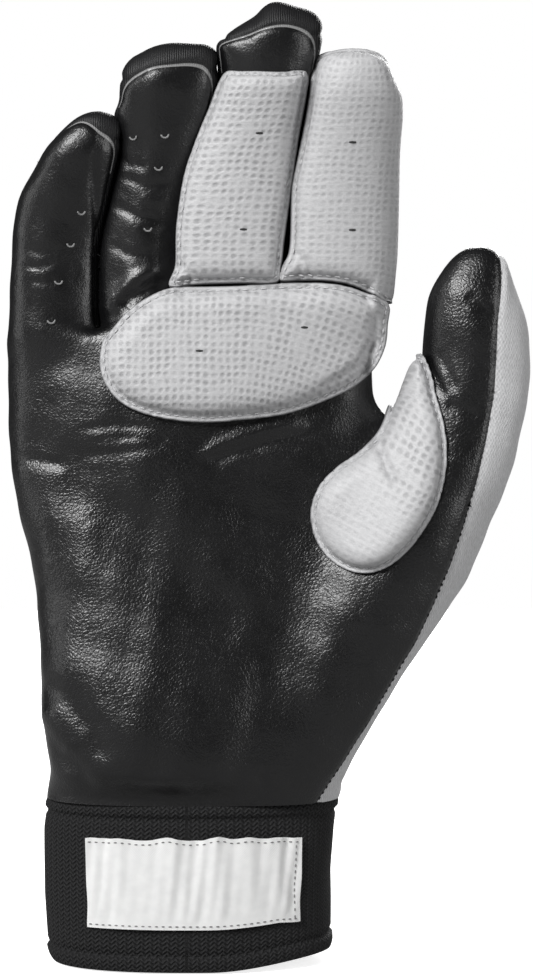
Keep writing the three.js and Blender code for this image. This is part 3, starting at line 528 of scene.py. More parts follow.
class Skin:
    """A surface of points and triangles, which can be cut along lines."""

    def __init__(self, points, triangles):
        self.points = points
        self.triangles = triangles

    def middles(self):
        """The middle of each triangle."""
        return self.points[self.triangles].mean(1)

    def cut(self, values, among=True):
        """Splits the triangles that the zero line of values crosses, all of them or the marked ones."""
        values = np.where(np.abs(values) < 1e-3, 0, values)
        sign = np.sign(values).astype(int)
        corner_signs = sign[self.triangles]
        crossing = among & (corner_signs.max(1) > 0) & (corner_signs.min(1) < 0)
        size = len(self.points)
        pairs = np.stack([self.triangles, np.roll(self.triangles, -1, axis=1)], 2)
        keys = pairs.min(2) * size + pairs.max(2)
        split_here = (sign[pairs[:, :, 0]] * sign[pairs[:, :, 1]] < 0) & crossing[:, None]
        found = np.unique(keys[split_here])
        if not len(found):
            return
        a = found // size
        b = found % size
        t = values[a] / (values[a] - values[b])
        fresh = self.points[a] + t[:, None] * (self.points[b] - self.points[a])
        self.points = np.concatenate([self.points, fresh])
        place = np.clip(np.searchsorted(found, keys), 0, len(found) - 1)
        hit = found[place] == keys
        middle = np.where(hit, size + place, -1)
        count = hit.sum(1)
        made = [self.triangles[count == 0]]
        for turn in range(3):
            v = np.roll(self.triangles, -turn, axis=1)
            m = np.roll(middle, -turn, axis=1)
            h = np.roll(hit, -turn, axis=1)
            one = (count == 1) & h[:, 0]
            made.append(np.stack([v[one, 0], m[one, 0], v[one, 2]], 1))
            made.append(np.stack([m[one, 0], v[one, 1], v[one, 2]], 1))
            two = (count == 2) & ~h[:, 1]
            made.append(np.stack([v[two, 0], m[two, 0], m[two, 2]], 1))
            made.append(np.stack([m[two, 0], v[two, 1], v[two, 2]], 1))
            made.append(np.stack([m[two, 0], v[two, 2], m[two, 2]], 1))
        all_three = count == 3
        v = self.triangles[all_three]
        m = middle[all_three]
        made.append(m)
        for k in range(3):
            made.append(np.stack([v[:, k], m[:, k], m[:, k - 1]], 1))
        self.triangles = np.concatenate(made)


def polygon_line(pixels, rounds=6):
    """A smooth closed outline through pixels, as places across and up."""
    knots = np.array([at(pixel) for pixel in pixels])
    before = np.roll(knots, 1, axis=0)
    after = np.roll(knots, -1, axis=0)
    beyond = np.roll(knots, -2, axis=0)
    out = []
    for t in np.arange(rounds) / rounds:
        line = 2 * knots + (after - before) * t + (2 * before - 5 * knots + 4 * after - beyond) * t**2
        out.append(0.5 * (line + (3 * knots - before - 3 * after + beyond) * t**3))
    return np.stack(out, 1).reshape(-1, 2)


def inside_distance(outline, x, z):
    """How far places lie inside a closed outline, less than 0 outside it."""
    shape = np.broadcast(x, z).shape
    x = np.broadcast_to(x, shape).ravel()
    z = np.broadcast_to(z, shape).ravel()
    nearest = np.full(x.shape, 1e9)
    crossings = np.zeros(x.shape, int)
    for a, b in zip(outline, np.roll(outline, -1, axis=0)):
        run = b - a
        t = np.clip(((x - a[0]) * run[0] + (z - a[1]) * run[1]) / max((run**2).sum(), 1e-9), 0, 1)
        nearest = np.minimum(nearest, np.hypot(x - a[0] - t * run[0], z - a[1] - t * run[1]))
        level = (a[1] > z) != (b[1] > z)
        slope = run[0] / (run[1] if abs(run[1]) > 1e-9 else 1e-9)
        crossings += level & (x < a[0] + (z - a[1]) * slope)
    return np.where(crossings % 2 == 1, nearest, -nearest).reshape(shape)


def line_distance(pixels, x, z):
    """Distance of places from an open line through pixels, and the share of the line nearest to them."""
    knots = np.array([at(pixel) for pixel in pixels])
    nearest = np.full(np.shape(x), 1e9)
    share = np.zeros(np.shape(x))
    for row, (a, b) in enumerate(zip(knots[:-1], knots[1:])):
        run = b - a
        t = np.clip(((x - a[0]) * run[0] + (z - a[1]) * run[1]) / (run**2).sum(), 0, 1)
        distance = np.hypot(x - a[0] - t * run[0], z - a[1] - t * run[1])
        closer = distance < nearest
        nearest = np.where(closer, distance, nearest)
        share = np.where(closer, (row + t) / (len(knots) - 1), share)
    return nearest, share


# Materials
def add(tree, kind, sockets=None, **settings):
    """A shader node with its settings, and with its sockets linked or set."""
    made = tree.nodes.new(kind)
    for name, value in settings.items():
        setattr(made, name, value)
    for key, value in (sockets or {}).items():
        if isinstance(value, bpy.types.NodeSocket):
            tree.links.new(value, made.inputs[key])
        else:
            made.inputs[key].default_value = value
    return made


def new_material(name, base, rough):
    """A material with its node tree and its Principled shader."""
    material = bpy.data.materials.new(name)
    material.use_nodes = True
    tree = material.node_tree
    shader = tree.nodes["Principled BSDF"]
    shader.inputs["Base Color"].default_value = (*base, 1)
    shader.inputs["Roughness"].default_value = rough
    return material, tree, shader


def math_node(tree, operation, a, b=0.0, c=0.0):
    """One step of arithmetic on numbers or links."""
    return add(tree, "ShaderNodeMath", {0: a, 1: b, 2: c}, operation=operation).outputs[0]


def place_of(tree, name="place"):
    """A mark of places on the mesh."""
    return add(tree, "ShaderNodeAttribute", attribute_name=name).outputs["Vector"]


def mark_of(tree, name):
    """A mark of single numbers on the mesh."""
    return add(tree, "ShaderNodeAttribute", attribute_name=name).outputs["Fac"]


def tint(tree, factor, low, high):
    """Mixes two greys or colours by a factor. The second may be a link."""
    high = high if isinstance(high, bpy.types.NodeSocket) else (*high, 1)
    sockets = {0: factor, 6: (*low, 1), 7: high}
    return add(tree, "ShaderNodeMix", sockets, data_type="RGBA").outputs[2]


def between(tree, value, start, end):
    """Rises smoothly from 0 to 1 as the value goes from start to end."""
    sockets = {"Value": value, "From Min": start, "From Max": end}
    return add(tree, "ShaderNodeMapRange", sockets, interpolation_type="SMOOTHSTEP").outputs[0]


def grain(tree, place, scale, detail=2.0, roughness=0.5):
    """Noise at a scale per millimetre."""
    sockets = {"Vector": place, "Scale": scale, "Detail": detail, "Roughness": roughness}
    return add(tree, "ShaderNodeTexNoise", sockets).outputs["Fac"]


def bump(tree, shader, height, depth, strength=1.0, under=None):
    """Relief of a depth in millimetres, laid over the relief under it."""
    sockets = {"Height": height, "Distance": depth * MM, "Strength": strength}
    if under is not None:
        sockets["Normal"] = under
    made = add(tree, "ShaderNodeBump", sockets)
    tree.links.new(made.outputs[0], shader.inputs["Normal"])
    return made.outputs[0]


def scaled(tree, place, factors, operation="MULTIPLY"):
    """Places multiplied along each axis, or moved."""
    return add(tree, "ShaderNodeVectorMath", {0: place, 1: factors}, operation=operation).outputs[0]


def columns(tree, place):
    """The across, up and third part of places."""
    return add(tree, "ShaderNodeSeparateXYZ", {0: place}).outputs


def waves(tree, value, pitch):
    """A sine of a length in millimetres."""
    return math_node(tree, "SINE", math_node(tree, "MULTIPLY", value, 2 * math.pi / pitch))


TIP_THREAD_EDGES = (0.18, 0.38)
TIP_THREAD_GREY = (0.22, 0.22, 0.22)


def thread_over(tree, base):
    """Lays the pale line of a fingertip seam over a colour."""
    gone = between(tree, mark_of(tree, "seam"), *TIP_THREAD_EDGES)
    return tint(tree, gone, TIP_THREAD_GREY, base)


PEBBLES_PER_MM = 1.15
KNIT_ROW_SHARE = 1.6
DIMPLE_PITCH = 1.95
RIM_STITCH_MARK = 1.3
ELASTIC_RIB = 1.1
ELASTIC_ROW = 1.15
LABEL_WARP = 0.5
LABEL_WEFT = 0.42


def leather_material():
    """Thin black leather: pebbled grain over slow creases, smoother where it is taut over a finger."""
    material, tree, shader = new_material("black_sheepskin", (0.012, 0.012, 0.013), 0.4)
    place = place_of(tree)
    taut = mark_of(tree, "taut")
    sockets = {"Vector": place, "Scale": PEBBLES_PER_MM, "Randomness": 1.0}
    cells = add(tree, "ShaderNodeTexVoronoi", sockets, feature="DISTANCE_TO_EDGE")
    pebble = between(tree, cells.outputs["Distance"], 0.0, 0.3)
    fine = grain(tree, place, 3.0, 3.0)
    creases = grain(tree, place, 0.4, 4.0, 0.6)
    under = bump(tree, shader, creases, 0.55, 0.35)
    height = math_node(tree, "ADD", pebble, math_node(tree, "MULTIPLY", fine, 0.25))
    bump(tree, shader, height, 0.05, math_node(tree, "MULTIPLY_ADD", taut, -0.4, 0.75), under)
    worn = grain(tree, place, 0.09, 2.0)
    black = tint(tree, worn, (0.002, 0.002, 0.0022), (0.0045, 0.0045, 0.005))
    tree.links.new(thread_over(tree, black), shader.inputs["Base Color"])
    tree.links.new(math_node(tree, "MULTIPLY_ADD", worn, 0.14, 0.26), shader.inputs["Roughness"])
    shader.inputs["Specular IOR Level"].default_value = 0.55
    return material


def knit_material(name, low, high, pitch, rough, depth):
    """Fine brushed knit: short upright stitches in rows, softened by fuzz."""
    material, tree, shader = new_material(name, high, rough)
    place = place_of(tree, "weave")
    wander = add(tree, "ShaderNodeTexNoise", {"Vector": place, "Scale": 0.6, "Detail": 2.0})
    apart = columns(tree, scaled(tree, place, wander.outputs["Color"], "ADD"))
    ribs = waves(tree, apart[0], pitch)
    rows = waves(tree, apart[1], pitch * KNIT_ROW_SHARE)
    stitch = math_node(tree, "MULTIPLY_ADD", math_node(tree, "MULTIPLY", ribs, rows), 0.22, 0.5)
    strokes = grain(tree, scaled(tree, place, (1.8, 0.8, 1)), 1.0, 4.0, 0.7)
    relief = math_node(tree, "SUBTRACT", stitch, 0.5)
    cloth = math_node(tree, "MULTIPLY_ADD", strokes, 1.2, relief)
    tree.links.new(tint(tree, cloth, low, high), shader.inputs["Base Color"])
    bump(tree, shader, cloth, depth, 0.6)
    shader.inputs["Sheen Weight"].default_value = 0.15
    return material


def pad_material():
    """Light grey leather pressed with rows of small soft dimples, weaker where the press mark is low. The
    dimples' hollows are painted darker: painted shade in the recesses.
    """
    material, tree, shader = new_material("dimpled_leather", (0.62, 0.62, 0.63), 0.55)
    place = place_of(tree, "weave")
    rim = mark_of(tree, "rim")
    press = mark_of(tree, "press")
    wander = add(tree, "ShaderNodeTexNoise", {"Vector": place, "Scale": 0.14, "Detail": 2.0})
    moved = scaled(tree, place, scaled(tree, wander.outputs["Color"], (1.8, 1.8, 0)), "ADD")
    squares = []
    for part in columns(tree, scaled(tree, moved, (1 / DIMPLE_PITCH, 1 / DIMPLE_PITCH, 1)))[:2]:
        offset = math_node(tree, "SUBTRACT", math_node(tree, "FRACT", part), 0.5)
        squares.append(math_node(tree, "MULTIPLY", offset, offset))
    square = math_node(tree, "ADD", *squares)
    edge = grain(tree, place, 1.1, 2.0)
    radius = math_node(tree, "MULTIPLY_ADD", edge, 0.12, math_node(tree, "SQRT", square))
    ridge = between(tree, radius, 0.14, 0.55)
    soft = between(tree, grain(tree, place, 0.2, 2.0), 0.2, 0.62)
    pressed = math_node(tree, "MULTIPLY", between(tree, rim, 0.2, 0.8), soft)
    pressed = math_node(tree, "MULTIPLY", pressed, press)
    hollow = math_node(tree, "MULTIPLY", math_node(tree, "SUBTRACT", 1.0, ridge), pressed)
    streaks = grain(tree, scaled(tree, place, (0.35, 1.5, 1)), 1.0, 3.0)
    fine = grain(tree, place, 2.6, 3.0, 0.6)
    cloth = math_node(tree, "MULTIPLY_ADD", streaks, 0.5, math_node(tree, "MULTIPLY", fine, 0.5))
    lit = math_node(tree, "MULTIPLY_ADD", cloth, 1.3, 0.24)
    # The dimples' hollows darken the colour: painted shade in the recesses, laid over the cloth's streaky
    # tone
    shade = math_node(tree, "MULTIPLY_ADD", hollow, -0.5, lit)
    base = tint(tree, shade, (0.2, 0.2, 0.206), (0.49, 0.49, 0.497))
    # Painted shade: the stitched groove is darker, for thread and the shade in the groove, and the pad's very
    # edge is painted dark grey
    seam = between(tree, rim, 0.0, 0.6)
    stitch = math_node(tree, "ABSOLUTE", math_node(tree, "SUBTRACT", rim, RIM_STITCH_MARK))
    stitch = math_node(tree, "MULTIPLY_ADD", between(tree, stitch, 0.1, 0.5), 0.35, 0.65)
    groove_shade_and_dark_edge = math_node(tree, "MULTIPLY", seam, stitch)
    tree.links.new(tint(tree, groove_shade_and_dark_edge, (0.14, 0.14, 0.145), base), shader.inputs["Base Color"])
    under = bump(tree, shader, hollow, -0.3, 0.6)
    bump(tree, shader, cloth, 0.25, 0.45, under)
    return material


def fabric_material(name, base, rough):
    """Plain black stretch cloth for forks and backs, with fine ribs."""
    material, tree, shader = new_material(name, base, rough)
    place = place_of(tree)
    fine = grain(tree, place, 5.0, 3.0)
    sockets = {"Vector": place, "Scale": 0.55, "Distortion": 1.5, "Detail": 2.0}
    ribs = add(tree, "ShaderNodeTexWave", sockets).outputs["Fac"]
    bump(tree, shader, math_node(tree, "ADD", ribs, fine), 0.12, 0.6)
    high = tuple(part * 2.2 for part in base)
    tree.links.new(thread_over(tree, tint(tree, fine, base, high)), shader.inputs["Base Color"])
    shader.inputs["Specular IOR Level"].default_value = 0.3
    return material


def elastic_material():
    """Black knitted elastic: upright ribs crossed by a fine zigzag."""
    material, tree, shader = new_material("black_elastic", (0.012, 0.012, 0.013), 0.75)
    place = place_of(tree, "weave")
    around, up, _ = columns(tree, place)
    zigzag = math_node(tree, "PINGPONG", around, ELASTIC_RIB)
    lifted = math_node(tree, "MULTIPLY_ADD", zigzag, 0.9, up)
    wobbled = math_node(tree, "MULTIPLY_ADD", grain(tree, place, 0.5), 0.5, lifted)
    fine = grain(tree, place, 4.0, 2.0)
    ribs = math_node(tree, "MULTIPLY", waves(tree, around, ELASTIC_RIB), 0.35)
    height = math_node(tree, "MULTIPLY_ADD", waves(tree, wobbled, ELASTIC_ROW), 0.6, ribs)
    bump(tree, shader, math_node(tree, "ADD", height, fine), 0.28, 0.9)
    factor = math_node(tree, "MULTIPLY_ADD", height, 0.45, math_node(tree, "MULTIPLY", fine, 0.8))
    black = tint(tree, factor, (0.001, 0.001, 0.0012), (0.022, 0.022, 0.023))
    tree.links.new(black, shader.inputs["Base Color"])
    shader.inputs["Specular IOR Level"].default_value = 0.3
    return material


def label_material():
    """White woven label, bare, with a satin weave."""
    material, tree, shader = new_material("white_weave", (0.72, 0.72, 0.71), 0.7)
    place = place_of(tree, "weave")
    around, up, _ = columns(tree, place)
    cross = math_node(tree, "MULTIPLY", waves(tree, around, LABEL_WARP), waves(tree, up, LABEL_WEFT))
    soft = grain(tree, place, 0.35, 3.0)
    factor = math_node(tree, "MULTIPLY_ADD", cross, 0.1, soft)
    white = tint(tree, factor, (0.69, 0.69, 0.69), (0.86, 0.86, 0.85))
    tree.links.new(white, shader.inputs["Base Color"])
    bump(tree, shader, math_node(tree, "ADD", cross, soft), 0.1, 0.5)
    return material


def tape_material(name, base, pitch):
    """Fastener tape: rows of hooks or a brushed pile of loops."""
    material, tree, shader = new_material(name, base, 0.8)
    place = place_of(tree, "weave")
    cells = add(tree, "ShaderNodeTexVoronoi", {"Vector": place, "Scale": 1 / pitch, "Randomness": 0.35})
    tuft = between(tree, cells.outputs["Distance"], 0.1, 0.6)
    bump(tree, shader, tuft, -0.5, 0.9)
    high = tuple(part * 2.5 for part in base)
    tree.links.new(tint(tree, tuft, high, base), shader.inputs["Base Color"])
    shader.inputs["Sheen Weight"].default_value = 0.3
    return material


def thread_material(name, base):
    """Twisted thread."""
    material, tree, shader = new_material(name, base, 0.6)
    place = place_of(tree)
    twist = add(tree, "ShaderNodeTexWave", {"Vector": place, "Scale": 1.6, "Distortion": 1.0}).outputs["Fac"]
    bump(tree, shader, twist, 0.05, 0.5)
    low = tuple(part * 0.7 for part in base)
    tree.links.new(tint(tree, twist, low, base), shader.inputs["Base Color"])
    return material


PALE_THREAD = thread_material("pale_thread", (0.6, 0.6, 0.61))
BLACK_THREAD = thread_material("black_thread", (0.03, 0.03, 0.032))
HOLE = thread_material("vent_dark", (0.02, 0.02, 0.02))
# The vents' lips are black leather; this pale grey is a painted highlight on them
LIP_HIGHLIGHT = thread_material("vent_lip_highlight", (0.25, 0.25, 0.25))
GREY_THREAD = thread_material("grey_thread", (0.2, 0.2, 0.2))

MATERIALS = {
    "black_leather": leather_material(),
    "pale_leather": pad_material(),
    "grey_knit": knit_material("grey_mesh", (0.28, 0.28, 0.285), (0.65, 0.65, 0.658), 1.0, 0.75, 0.25),
    "black_fabric": fabric_material("black_stretch", (0.004, 0.004, 0.0044), 0.5),
    "black_knit": elastic_material(),
    "label": label_material(),
    "hook_tape": tape_material("hooks", (0.02, 0.02, 0.02), 1.2),
    "loop_tape": tape_material("loops", (0.03, 0.03, 0.03), 0.8),
}


def stitch_beads(places, runs, ups, length, radius, sides=6, rings=5):
    """Stitches as small closed beads: each lies at a place along a run, with up away from the cloth."""
    across = np.cross(runs, ups)
    turn = np.arange(sides) * 2 * np.pi / sides
    tilt = np.linspace(-np.pi / 2, np.pi / 2, rings)
    ring = np.cos(tilt)[1:-1]
    along = np.sin(tilt)[1:-1]
    bead = [[-1, 0, 0]]
    for r, a in zip(ring, along):
        bead += [[a, r * np.cos(t), r * np.sin(t)] for t in turn]
    bead = np.array([*bead, [1, 0, 0]]) * [length / 2, radius, radius]
    last = len(bead) - 1
    faces = []
    for k in range(sides):
        n = (k + 1) % sides
        faces.append((0, 1 + n, 1 + k))
        for row in range(rings - 3):
            a, b = 1 + row * sides + k, 1 + row * sides + n
            faces += [(a, b, b + sides), (a, b + sides, a + sides)]
        faces.append((last, last - sides + k, last - sides + n))
    basis = np.stack([runs, across, ups], 1)
    points = places[:, None] + np.einsum("vk,nkx->nvx", bead, basis)
    shift = np.arange(len(places))[:, None, None] * len(bead)
    return points.reshape(-1, 3), (np.array(faces)[None] + shift).reshape(-1, 3)


def with_thread(made, points, triangles, material):
    """Joins thread to a piece as a second material of the same mesh."""
    mesh = bpy.data.meshes.new(f"{made.name}_thread")
    mesh.from_pydata((points * MM).tolist(), [], triangles.tolist())
    attribute = mesh.attributes.new("place", "FLOAT_VECTOR", "POINT")
    attribute.data.foreach_set("vector", np.ascontiguousarray(points, dtype=np.float32).ravel())
    mesh.shade_smooth()
    mesh.materials.append(material)
    thread = bpy.data.objects.new(mesh.name, mesh)
    bpy.context.scene.collection.objects.link(thread)
    with bpy.context.temp_override(active_object=made, selected_editable_objects=[made, thread]):
        bpy.ops.object.join()


def make(name, points, triangles, slot, normals=None, **marks):
    """A mesh object from millimetre points, with smooth normals and marks for its material."""
    mesh = bpy.data.meshes.new(name)
    mesh.from_pydata((points * MM).tolist(), [], triangles.tolist())
    marks.setdefault("place", points)
    for mark, values in marks.items():
        kind = "FLOAT_VECTOR" if values.ndim == 2 else "FLOAT"
        attribute = mesh.attributes.new(mark, kind, "POINT")
        field = "vector" if values.ndim == 2 else "value"
        attribute.data.foreach_set(field, np.ascontiguousarray(values, dtype=np.float32).ravel())
    mesh.shade_smooth()
    if normals is not None:
        mesh.normals_split_custom_set(normals.reshape(-1, 3).tolist())
    mesh.materials.append(MATERIALS[slot])
    made = bpy.data.objects.new(name, mesh)
    bpy.context.scene.collection.objects.link(made)
    return made


def flat_normals(points, triangles):
    """Each triangle's own normal, three times over, for its three corners."""
    a, b, c = (points[triangles[:, k]] for k in range(3))
    return np.repeat(unit(np.cross(b - a, c - a))[:, None], 3, axis=1)


def walled(points, normals, triangles, wall):
    """A closed wall: the outside, the same set in, and a rim. Gives points, triangles, normals, owners."""
    used, local = np.unique(triangles, return_inverse=True)
    local = local.reshape(-1, 3)
    size = len(used)
    both = np.concatenate([points[used], points[used] - normals[used] * wall])
    a, b = border_of(local, size).T
    rim = np.concatenate([np.stack([b, a, a + size], 1), np.stack([b, a + size, b + size], 1)])
    inner = local[:, ::-1] + size
    all_triangles = np.concatenate([local, inner, rim])
    own = normals[used]
    loop_normals = np.concatenate([own[local], -own[inner - size], flat_normals(both, rim)])
    return both, all_triangles, loop_normals, np.concatenate([used, used])


# Skin of the glove: where each panel lies
LONG_PALM, DIGITS, FIELD = glove_fields()
KNUCKLE_CUTS = {"little": 164.5, "ring": 171.0, "middle": 173.4, "index": 172.9}
PHALANX_CUTS = {"little": 14.0, "ring": 17.0, "middle": 17.0, "index": 17.0}
THUMB_HINGE = np.array([67.373, -18.9, 129.432])
THUMB_RUN = np.array([0.351, 0, 0.936])
THUMB_START = 6.7
THUMB_CUT = 21.0
FORK_FRONT = math.sin(math.radians(24))
FORK_BACK = math.sin(math.radians(32))
FOLD_BACK = math.sin(math.radians(12))
TIP_WRAP = 0.62
CAP_SHARE = 0.87
SKIN_FOOT = 42.0
THUMB_TOP = 192.0
WEB_LEFT = 51.5
WEB_HEIGHT = 142.0
WEB_LEAN = 0.2
WEB_CUT_START = 4.0
WEB_CUT_LEFT = 45.0
SEAM_SOFTNESS = 2.0

seam_line = np.array([at(pixel) for pixel in SEAM_PIXELS])[::-1]


def seam_across(z):
    """Where the seam between palm and knit lies across, at a height."""
    return look_up(np.column_stack([seam_line[:, 1], seam_line[:, 0]]), z)


def thumb_run(points):
    """How far past the thumb's base hinge points lie."""
    return (points - THUMB_HINGE) @ THUMB_RUN


def thumb_side(points):
    """More than 0 on the thumb's side of the gap between thumb and index finger."""
    return points[:, 0] - WEB_LEFT - WEB_LEAN * (points[:, 2] - WEB_HEIGHT)


def beside_thumb(points):
    """True where points lie on the thumb's side, below its tip."""
    return (thumb_side(points) > 0) & (points[:, 2] < THUMB_TOP)


def on_thumb(points, start=THUMB_START):
    """True where points lie on the thumb's own panels."""
    return beside_thumb(points) & (thumb_run(points) > start)


def in_column(points, name):
    """True where points lie between the outer and inner edge of a finger."""
    edge = FINGERS[name]["edge"]
    along = (points[:, 2] - KNUCKLE_HEIGHT) / MIDDLE_LENGTH
    left = look_up(FINGER_EDGE_SHARES, along, edge) * HAND_BREADTH
    right = look_up(FINGER_EDGE_SHARES, along, edge + 1) * HAND_BREADTH
    inside = np.ones(len(points), bool)
    if name != "little":
        inside &= points[:, 0] > left
    if name != "index":
        inside &= points[:, 0] <= right
    return inside & ~beside_thumb(points)


def on_finger(points, name, below=0.0):
    """True where points lie on a finger, or a little below its base."""
    return in_column(points, name) & (points[:, 2] > KNUCKLE_CUTS[name] - below)


def finger_values(name, points):
    """Fields of a finger's panels: front seam, back seam, run along it and the side a point lies on."""
    line = LINES[name]
    finger = FINGERS[name]
    share, across, forward = digit_place(line, points)
    held = np.clip(share, 0, 1)
    half_depth = read(line, "half_depth", held)
    side = across / read(line, "half_breadth", held)
    beyond = np.maximum(share - line["dome"], 0) / (1 - line["dome"])
    outer = FORK_FRONT if finger["outer"] else -FOLD_BACK
    inner = FORK_FRONT if finger["inner"] else -FOLD_BACK
    edge = outer + (inner - outer) * ramp(side, -0.6, 0.6)
    front = forward - (TIP_WRAP * beyond + edge) * half_depth
    back = np.maximum(-forward - FORK_BACK * half_depth, (share - CAP_SHARE) * line["length"])
    forked = np.where(side < 0, finger["outer"], finger["inner"])
    return front, back, share * line["length"], side, forked


def thumb_front(points):
    """More than 0 on the leather of the thumb."""
    share, across, forward = digit_place(LINES["thumb"], points)
    held = np.clip(share, 0, 1)
    limit = forward + 0.26 * read(LINES["thumb"], "half_depth", held)
    return smooth_min(seam_across(points[:, 2]) - points[:, 0], limit, SEAM_SOFTNESS)


def hand_front(points):
    """More than 0 on the leather of the palm."""
    x, y, z = points.T
    by_thumb = ramp(x, 30, 50) * ramp(z, 105, 140)
    by_little = ramp(-x, 25, 40) * ramp(z, 140, 164)
    limit = 4 - 5.6 * by_thumb - 6.7 * by_little - y
    return smooth_min(seam_across(z) - x, limit, SEAM_SOFTNESS)


def hand_part(points):
    """True where points lie on the palm or the back of the hand."""
    return ~on_thumb(points) & ~np.any([on_finger(points, name) for name in FINGERS], axis=0)


def cut_skin(skin):
    """Cuts the skin along every seam and every line where a panel passes to the next."""
    skin.cut(skin.points[:, 2] - SKIN_FOOT)
    middle = skin.middles()
    past_base = (thumb_run(middle) > WEB_CUT_START) & (middle[:, 2] < THUMB_TOP)
    skin.cut(thumb_side(skin.points), past_base & (middle[:, 0] > WEB_CUT_LEFT))
    for run in (THUMB_START, THUMB_CUT):
        skin.cut(thumb_run(skin.points) - run, beside_thumb(skin.middles()))
    for name, height in KNUCKLE_CUTS.items():
        middle = skin.middles()
        skin.cut(skin.points[:, 2] - height, in_column(middle, name) & (np.abs(middle[:, 2] - height) < 3))
        run = finger_values(name, skin.points)[2]
        skin.cut(run - PHALANX_CUTS[name], on_finger(skin.middles(), name))
        skin.cut(finger_values(name, skin.points)[0], on_finger(skin.middles(), name))
        middle = skin.middles()
        front, _, _, _, forked = finger_values(name, middle)
        on_side = on_finger(middle, name) & (front < 0) & forked
        skin.cut(finger_values(name, skin.points)[1], on_side)
    skin.cut(thumb_front(skin.points), on_thumb(skin.middles()))
    skin.cut(hand_front(skin.points), hand_part(skin.middles()))


def panel_names(skin):
    """The panel that each triangle belongs to."""
    middle = skin.middles()
    names = np.full(len(middle), "", dtype=object)
    on_hand = hand_part(middle)
    front = hand_front(middle) > 0
    names[on_hand & front] = "palm_leather"
    names[on_hand & ~front] = "back_knit"
    thumb = on_thumb(middle)
    end = np.where(thumb_run(middle) > THUMB_CUT, "distal", "proximal")
    face = np.where(thumb_front(middle) > 0, "front", "back")
    for row in np.flatnonzero(thumb):
        names[row] = f"thumb_{end[row]}_{face[row]}"
    for name in FINGERS:
        rows = np.flatnonzero(on_finger(middle, name) & ~thumb)
        front, back, run, side, forked = finger_values(name, middle[rows])
        end = np.where(run > PHALANX_CUTS[name], "distal", "proximal")
        fork = np.where(side < 0, "fork_outer_side", "fork_thumb_side")
        face = np.where(front > 0, "front", np.where((back > 0) | ~forked, "back", fork))
        for row, e, f in zip(rows, end, face):
            names[row] = f"{name}_{e}_{f}"
    names[middle[:, 2] < SKIN_FOOT] = ""
    return names


# Creases and folds of the skin: depth, width, and a line of pixels on the front. Ridges have a depth below 0
BROAD_FORMS = [
    (3.4, 20.0, [(312, 430), (262, 500)]),
    (1.7, 9.0, [(50, 448), (125, 520), (222, 618)]),
    (2.4, 12.0, [(300, 540), (290, 590), (280, 650), (266, 720), (256, 780)]),
    (-0.8, 9.0, [(420, 520), (372, 585), (330, 630), (300, 690), (284, 740)]),
    (-5.5, 23.0, [(66, 698), (130, 726), (200, 752)]),
]
FOLDS = [
    (0.35, 1.1, [(75, 431), (120, 426), (165, 430)]),
    (0.25, 1.0, [(90, 442), (135, 438), (178, 441)]),
    (0.35, 1.4, [(78, 455), (125, 453), (172, 446)]),
    (-0.9, 1.7, [(196, 458), (225, 444), (262, 431), (318, 421)]),
    (0.6, 1.6, [(206, 466), (240, 450), (322, 430)]),
    (0.6, 1.5, [(10, 456), (40, 461), (72, 466)]),
    (0.25, 1.0, [(30, 250), (46, 256), (66, 251)]),
    (0.3, 1.0, [(26, 266), (44, 270), (60, 264)]),
    (0.25, 1.0, [(34, 281), (50, 285), (62, 280)]),
    (0.3, 0.9, [(120, 156), (132, 168), (150, 172)]),
    (0.35, 1.0, [(124, 178), (145, 190), (176, 186)]),
    (-0.25, 1.0, [(140, 200), (158, 206), (174, 202)]),
    (0.45, 1.1, [(116, 206), (138, 220), (164, 224)]),
    (0.3, 0.9, [(140, 230), (156, 238), (172, 234)]),
    (0.35, 1.1, [(112, 244), (130, 257), (150, 258)]),
    (-1.0, 1.9, [(112, 322), (117, 298), (138, 280), (172, 264)]),
    (0.8, 1.7, [(124, 312), (130, 300), (148, 290), (176, 276)]),
    (0.6, 1.3, [(422, 352), (432, 376), (442, 402)]),
    (0.5, 1.3, [(434, 350), (444, 372), (454, 396)]),
    (0.4, 1.3, [(462, 298), (474, 308), (490, 324)]),
    (0.5, 1.4, [(440, 405), (458, 412), (480, 420)]),
    (1.3, 3.0, [(42, 674), (72, 696), (98, 722), (112, 764)]),
    (-0.7, 3.0, [(46, 704), (64, 724), (80, 748)]),
    (0.9, 2.8, [(48, 742), (82, 764), (98, 792)]),
    (0.5, 1.7, [(132, 768), (136, 790), (134, 806)]),
    (0.5, 1.6, [(158, 776), (160, 790), (158, 806)]),
    (0.6, 1.7, [(192, 764), (196, 786), (193, 806)]),
    (0.5, 1.6, [(226, 774), (228, 790), (226, 806)]),
    (0.6, 1.7, [(258, 762), (264, 786), (262, 806)]),
    (0.5, 1.6, [(292, 774), (292, 790), (288, 806)]),
    (0.6, 0.7, [(97, 150), (95, 200), (94, 260), (92, 325)]),
]

# Local shifts of the whole surface: a pixel, how many pixels it moves, and the reach in millimetres
NUDGES = [
    ((20, 205), (-7, 0), 13), ((10, 300), (-3, 0), 13), ((8, 420), (-2.5, 0), 12), ((20, 520), (-2.5, 0), 12),
    ((42, 700), (-3, 0), 9), ((48, 772), (4, 0), 6), ((160, 44), (0, 4), 8), ((208, 66), (9, -12), 6),
    ((222, 52), (-7, 1), 7), ((228, 20), (8, 4), 8), ((276, 0), (0, 4), 14), ((392, 424), (1, -9), 8),
    ((108, 130), (6, -9), 6), ((110, 77), (9, 3), 9), ((248, 8), (5, 5), 8), ((313, 26), (7, -5), 7),
    ((404, 82), (-5, 2), 7), ((350, 46), (0, 2), 7), ((398, 306), (-3, 0), 9),
]
# Shifts of one fingertip's skin alone
TIP_SHIFTS = [
    ("ring", (124, 128), (-9, 0), 4.2),
    ("ring", (221, 75), (-5, 0), 4.0),
    ("middle", (224, 66), (-9, 0), 4.5),
]
# How far the sides of neighbouring fingers move towards each other, and how much more near the tips
CLOSE_IN = 0.9
CLOSE_IN_LITTLE = 1.15
TIP_CLOSE_IN = 0.9
